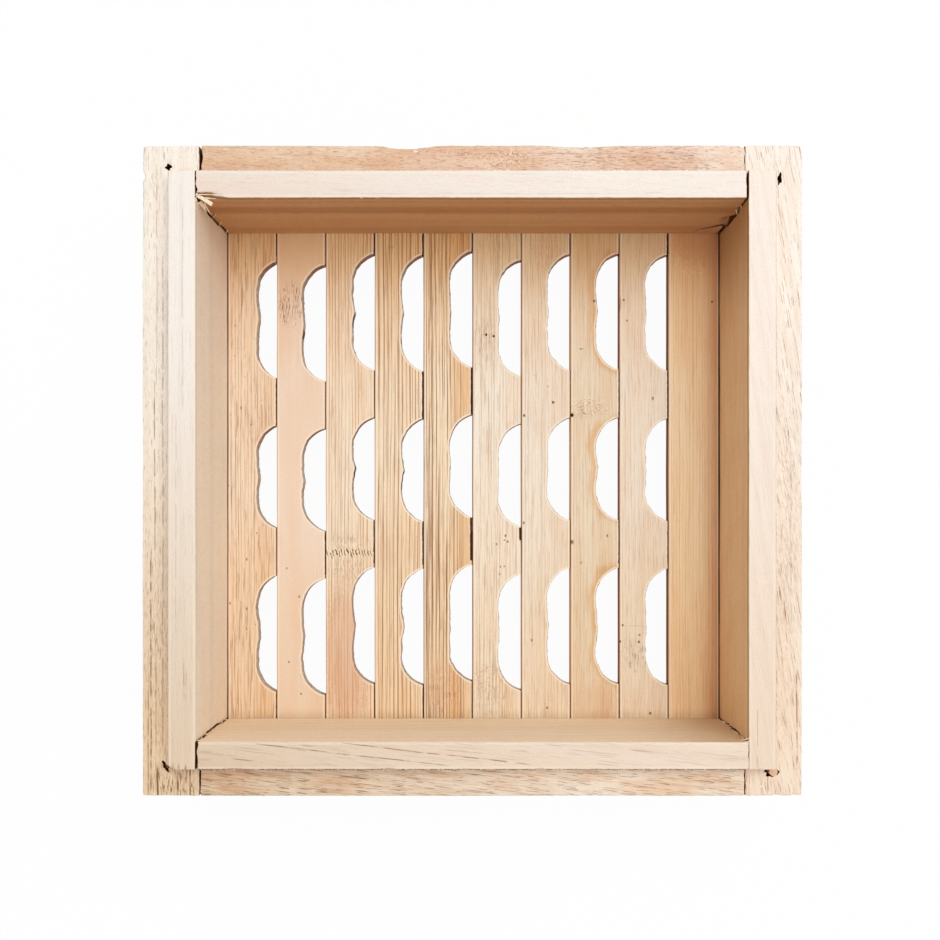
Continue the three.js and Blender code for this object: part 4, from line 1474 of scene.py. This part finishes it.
def build_pin(name, material, seed):
    """A bamboo pin whose cut top is split and uneven."""
    low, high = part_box(name)
    middle = (low + high) / 2
    radius = (high.x - low.x) / 2
    count = 24
    angle = np.linspace(0, 2 * math.pi, count, endpoint=False)
    circle = np.column_stack([np.cos(angle), np.sin(angle), np.zeros(count)])
    lean_x, lean_y, higher = np.array(PIN_LEANS.get(name, (0, 0, 0))) * MM
    peak = high.z + higher
    rings = []
    for level in spread(low.z, (peak - 4 * MM, 4 * MM), (peak, 0.8 * MM)):
        rings.append(circle * radius + (middle.x, middle.y, level))
    for part in (0.92, 0.7, 0.45, 0.2):
        rings.append(circle * radius * part + (middle.x, middle.y, peak))
    rings = np.array(rings)
    rings[:, :, :2] += ((rings[:, :, 2:] - low.z) / (peak - low.z)) ** 2 * (lean_x, lean_y)
    top = rings[-5:].reshape(-1, 3)
    top[:, 2] -= 0.4 * MM * np.abs(ripple(top, 0.8 * MM, seed))
    rings[-5:] = top.reshape(5, count, 3)
    body = add_object(name + "_bamboo", *skin(rings))
    finish_piece(body, material, "pin_bamboo", name)


# Splinters at the corners: start, end and width in millimetres and, where they aren't as usual, the
# thickness and whether the tip is blunt
SPLINTERS = [
    ((-99.2, 99.0, 71.7), (-93.6, 95.7, 70.2), 1.55, 0.5, True),
    ((-99.2, 98.8, 71.9), (-89.9, 98.9, 71.8), 0.4), ((-98.6, 98.1, 71.0), (-92.0, 97.6, 70.8), 0.9),
    ((-99.3, 96.6, 70.0), (-98.6, 93.8, 64.0), 0.5), ((-98.3, 96.9, 69.5), (-97.3, 94.8, 63.0), 1.6),
    ((-97.6, 96.9, 67.5), (-96.2, 94.6, 61.0), 1.2), ((-99.6, 95.8, 71.8), (-99.2, 93.3, 71.1), 0.4, 0.25),
    ((-99.4, 98.0, 71.6), (-98.9, 95.9, 70.6), 0.7), ((-96.8, 97.4, 52.0), (-99.1, 97.2, 47.0), 0.9),
    ((-97.4, 97.4, 40.9), (-99.1, 96.8, 36.8), 0.9), ((-97.4, 97.4, 29.1), (-99.1, 96.5, 25.9), 0.8),
    ((-98.4, -97.5, 27.0), (-99.2, -96.4, 31.0), 0.7), ((-98.0, -97.5, 59.0), (-99.2, -96.2, 62.0), 0.7),
    ((98.2, -97.5, 41.0), (99.2, -96.3, 45.0), 0.8), ((98.0, 97.4, 58.0), (99.2, 96.0, 54.0), 0.8),
    ((98.4, 97.4, 63.0), (99.2, 96.6, 61.0), 0.5), ((99.9, -97.4, 71.9), (95.2, -98.2, 72.1), 0.45, 0.25),
    ((99.5, -96.3, 71.9), (95.8, -97.2, 71.8), 0.4, 0.25),
    ((-98.9, -97.5, 31.5), (-98.3, -97.1, 36.5), 0.6), ((-98.8, -97.5, 43.5), (-98.2, -97.1, 38.5), 0.5),
    ((-98.8, -97.5, 47.5), (-98.1, -97.0, 53.5), 0.7), ((-98.7, -97.5, 64.5), (-98.2, -97.1, 68.5), 0.6),
    ((-98.9, -97.5, 70.5), (-96.9, -96.9, 68.2), 0.4), ((98.7, -97.5, 34.5), (98.1, -97.1, 30.5), 0.6),
    ((98.8, -97.5, 45.5), (98.0, -96.8, 47.5), 0.8, 0.3, True),
    ((98.8, -97.5, 56.5), (98.3, -97.1, 52.0), 0.6), ((98.9, -97.5, 65.0), (98.5, -97.1, 61.0), 0.5),
]


# Places along the front lip where single fibres hang over its outer edge, in millimetres
HANGING_FIBRES = (-93.1, -88.4, -72.1, -51.3, -31.4, 0.7, 39.5, 59.2, 80.7)


def splinter(start, end, width, thickness=0.3, blunt=False, seed=0):
    """Rings of one torn sliver: uneven, ridged, and thinning to its tip unless that is blunt."""
    start, end = np.array(start) * MM, np.array(end) * MM
    ahead = (end - start) / np.linalg.norm(end - start)
    sideways = np.cross(ahead, (0, 0, 1))
    sideways /= np.linalg.norm(sideways)
    upward = np.cross(sideways, ahead)
    outline = np.array([(-1, -0.5), (0, -0.7), (1, -0.5), (0.95, 0.4), (0.2, 1), (-0.3, 0.4), (-0.95, 0.6)])
    random = np.random.default_rng(seed)
    rings = []
    for part in np.linspace(0, 1, 9):
        taper = 0.75 + 0.25 * part if blunt else 1 - 0.9 * part
        middle = start + (end - start) * part
        jitter = 1 + random.uniform(-0.1, 0.1, len(outline))
        across = outline[:, 0] * width / 2 * MM * taper * jitter
        thick = outline[:, 1] * thickness / 2 * MM * max(taper, 0.4)
        rings.append(middle + across[:, None] * sideways + thick[:, None] * upward)
    return skin(np.array(rings))


def fuzz_slivers(count, seed):
    """Small torn fibres that stand off the edges of the lip, most of them along the front one."""
    random = np.random.default_rng(seed)
    sizes = bpy.context.scene.basket.sizes
    lip_x, lip_y = INNER_X + sizes.lip_width, INNER_Y + sizes.lip_width
    # Edges of the lip: the axis that each runs along, its place, which way is outward, and its share
    edges = [
        ("x", -lip_y, -1, 0.45), ("x", INNER_Y, -1, 0.15), ("x", -INNER_Y, 1, 0.08),
        ("y", -lip_x, -1, 0.08), ("y", lip_x, 1, 0.08), ("x", lip_y, 1, 0.05),
    ]
    chances = np.array([edge[3] for edge in edges])
    slivers = []
    for place in HANGING_FIBRES:
        run = random.uniform(-1.2, 1.2)
        slivers.append(((place, -107.2, 71.7), (place + run, -108.6, 71.3), 0.35, 0.2, False))
    for _ in range(count):
        axis, place, outward, _ = edges[random.choice(len(edges), p=chances / chances.sum())]
        along = random.uniform(-0.93, 0.93) * INNER_X
        run = random.uniform(0.5, 1.7) * random.choice((-1, 1))
        root, tip = place / MM - 0.35 * outward, place / MM + random.uniform(0.2, 0.6) * outward
        level = WALL_TOP / MM - random.uniform(0.15, 0.5)
        start, end = (along / MM, root, level), (along / MM + run, tip, level + random.uniform(-0.5, 0.2))
        if axis == "y":
            start, end = (start[1], start[0], start[2]), (end[1], end[0], end[2])
        slivers.append((start, end, random.uniform(0.12, 0.28), 0.12, False))
    return slivers


def build_splinters():
    corners, faces, count = [], [], 0
    for index, piece in enumerate(SPLINTERS + fuzz_slivers(110, 5)):
        points, sides = splinter(*piece, seed=index)
        corners.append(points)
        faces += [[corner + count for corner in side] for side in sides]
        count += len(points)
    body = add_object("splinters", np.concatenate(corners), faces)
    finish_piece(body, splinter_material(), "board_wood")


# Stage

FLOOR_REACH = 3.0
FLOOR_STEP = 0.5
KEY_LAMP_PLACE = (0.36, 0.44, 1.15)

# The photograph was taken a little off the basket's middle and then cropped, which shifts the lens
CAMERA_X, CAMERA_Y = 5.0 * MM, -19.4 * MM
SHIFT_X, SHIFT_Y = -0.01702, 0.05745


def floor_material(look):
    """Pale floor that the camera sees as white, and that still takes the basket's shadow."""
    material = bpy.data.materials.new("floor")
    material.use_nodes = True
    tree = material.node_tree
    tree.nodes.clear()
    wire = Wiring(tree)
    place = wire.add("ShaderNodeTexCoord").outputs["Object"]
    base = wire.mix(wire.ramp(wire.noise(place, (4, 4, 4)), 0.3, 0.7), (0.9, 0.9, 0.9), look.floor)
    plain = wire.add("ShaderNodeBsdfDiffuse", {"Color": base}).outputs[0]
    white = wire.add("ShaderNodeEmission", {"Color": (1, 1, 1, 1), "Strength": 1.0}).outputs[0]
    ray = wire.add("ShaderNodeLightPath").outputs
    seen = wire.most(ray["Is Camera Ray"], ray["Is Glossy Ray"])
    seen = wire.most(seen, ray["Is Transmission Ray"])
    parts = {0: wire.times(seen, look.floor_glow), 1: plain, 2: white}
    mixed = wire.add("ShaderNodeMixShader", parts).outputs[0]
    tree.links.new(mixed, wire.add("ShaderNodeOutputMaterial").inputs[0])
    return material


def build_stage():
    look = bpy.context.scene.basket.stage
    scene = bpy.context.scene
    lines = spread(-FLOOR_REACH, (FLOOR_REACH, FLOOR_STEP))
    count = len(lines)
    index = np.arange(count * count).reshape(count, count)
    quads = np.stack([index[:-1, :-1], index[:-1, 1:], index[1:, 1:], index[1:, :-1]], axis=2).reshape(-1, 4)
    floor = add_object("floor", [(x, y, 0) for y in lines for x in lines], quads)
    floor.data.materials.append(floor_material(look))
    floor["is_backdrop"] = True

    world = bpy.data.worlds.new("even light")
    world.use_nodes = True
    scene.world = world
    wire = Wiring(world.node_tree)
    sky = world.node_tree.nodes["Background"]
    seen = wire.add("ShaderNodeLightPath").outputs["Is Camera Ray"]
    strength = wire.times_plus(seen, 1 - look.sky_share, look.sky_share)
    world.node_tree.links.new(strength, sky.inputs["Strength"])
    sky.inputs["Color"].default_value = (1.0, 1.0, 1.0, 1.0)

    lamp = bpy.data.lights.new("key lamp", "AREA")
    lamp.shape = "DISK"
    lamp.size = look.key_size
    lamp.energy = look.key_power
    lamp.color = (1.0, 0.99, 0.97)
    key = bpy.data.objects.new("key lamp", lamp)
    key.location = KEY_LAMP_PLACE
    key.rotation_euler = (Vector((0, 0, 0)) - key.location).to_track_quat("-Z", "Y").to_euler()
    scene.collection.objects.link(key)

    lens = bpy.data.cameras.new("camera")
    lens.lens = look.camera_lens
    lens.sensor_width = 36
    lens.shift_x = SHIFT_X
    lens.shift_y = SHIFT_Y
    camera = bpy.data.objects.new("camera", lens)
    camera.location = (CAMERA_X, CAMERA_Y, look.camera_height)
    scene.collection.objects.link(camera)
    scene.camera = camera
    scene.view_settings.view_transform = "Standard"


# Operators and panel

class BASKET_OT_side_boards(bpy.types.Operator):
    """Builds the left and the right board"""

    bl_idname = "basket.side_boards"
    bl_label = "Side boards"

    def execute(self, context):
        build_board("left_board", 11)
        build_board("right_board", 23)
        return {"FINISHED"}


class BASKET_OT_end_boards(bpy.types.Operator):
    """Builds the back and the front board"""

    bl_idname = "basket.end_boards"
    bl_label = "Back and front boards"

    def execute(self, context):
        build_board("back_board", 37)
        build_board("front_board", 41)
        return {"FINISHED"}


class BASKET_OT_slats(bpy.types.Operator):
    """Builds the bamboo slats of the floor"""

    bl_idname = "basket.slats"
    bl_label = "Floor slats"

    def execute(self, context):
        for index in range(SLAT_COUNT):
            build_slat(index)
        return {"FINISHED"}


class BASKET_OT_crossbars(bpy.types.Operator):
    """Builds the two bars under the slats"""

    bl_idname = "basket.crossbars"
    bl_label = "Crossbars"

    def execute(self, context):
        build_crossbar("crossbar_front", 51)
        build_crossbar("crossbar_back", 57)
        return {"FINISHED"}


class BASKET_OT_pins(bpy.types.Operator):
    """Builds the bamboo pins in the corners"""

    bl_idname = "basket.pins"
    bl_label = "Corner pins"

    def execute(self, context):
        material = pin_material()
        for seed, name in enumerate(HOLE_MOUTHS):
            build_pin(name, material, seed)
        return {"FINISHED"}


class BASKET_OT_splinters(bpy.types.Operator):
    """Builds the splinters and torn fibres on the lip"""

    bl_idname = "basket.splinters"
    bl_label = "Splinters"

    def execute(self, context):
        build_splinters()
        return {"FINISHED"}


class BASKET_OT_stage(bpy.types.Operator):
    """Builds the floor, the lamps and the camera"""

    bl_idname = "basket.stage"
    bl_label = "Stage"

    def execute(self, context):
        build_stage()
        return {"FINISHED"}


STEPS = (
    BASKET_OT_side_boards, BASKET_OT_end_boards, BASKET_OT_slats, BASKET_OT_crossbars, BASKET_OT_pins,
    BASKET_OT_splinters, BASKET_OT_stage,
)


class BASKET_PT_sidebar(bpy.types.Panel):
    """Lists the steps that build the basket"""

    bl_idname = "BASKET_PT_sidebar"
    bl_label = "Steamer basket"
    bl_space_type = "VIEW_3D"
    bl_region_type = "UI"
    bl_category = "Basket"

    def draw(self, context):
        basket = context.scene.basket
        for name in ("lip_width", "lip_height", "arris_width", "fuzz_height", "cut_burr"):
            self.layout.prop(basket.sizes, name)
        for step in STEPS:
            self.layout.operator(step.bl_idname)


CLASSES = (BasketSizes, BoardLook, SlatLook, StageLook, Basket, *STEPS, BASKET_PT_sidebar)


def register():
    for item in CLASSES:
        bpy.utils.register_class(item)
    bpy.types.Scene.basket = PointerProperty(type=Basket)


def unregister():
    del bpy.types.Scene.basket
    for item in reversed(CLASSES):
        bpy.utils.unregister_class(item)


def fill_looks(basket):
    """Gives each board and slat the look that it has in this basket."""
    basket.boards.clear()
    basket.slats.clear()
    for index, name in enumerate(BOARDS):
        basket.boards.add().name = name
        for key, values in BOARD_LOOKS.items():
            setattr(basket.boards[name], key, values[index])
    for index in range(SLAT_COUNT):
        look = basket.slats.add()
        for key, values in SLAT_LOOKS.items():
            setattr(look, key, values[index])


def main():
    register()
    fill_looks(bpy.context.scene.basket)
    bpy.ops.basket.stage()
    bpy.ops.basket.side_boards()
    bpy.ops.basket.end_boards()
    bpy.ops.basket.slats()
    bpy.ops.basket.crossbars()
    bpy.ops.basket.pins()
    bpy.ops.basket.splinters()
    boxes = {"cad": (CAD_LOW, CAD_HIGH), "visual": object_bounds()}


if __name__ == "__main__":
    main()
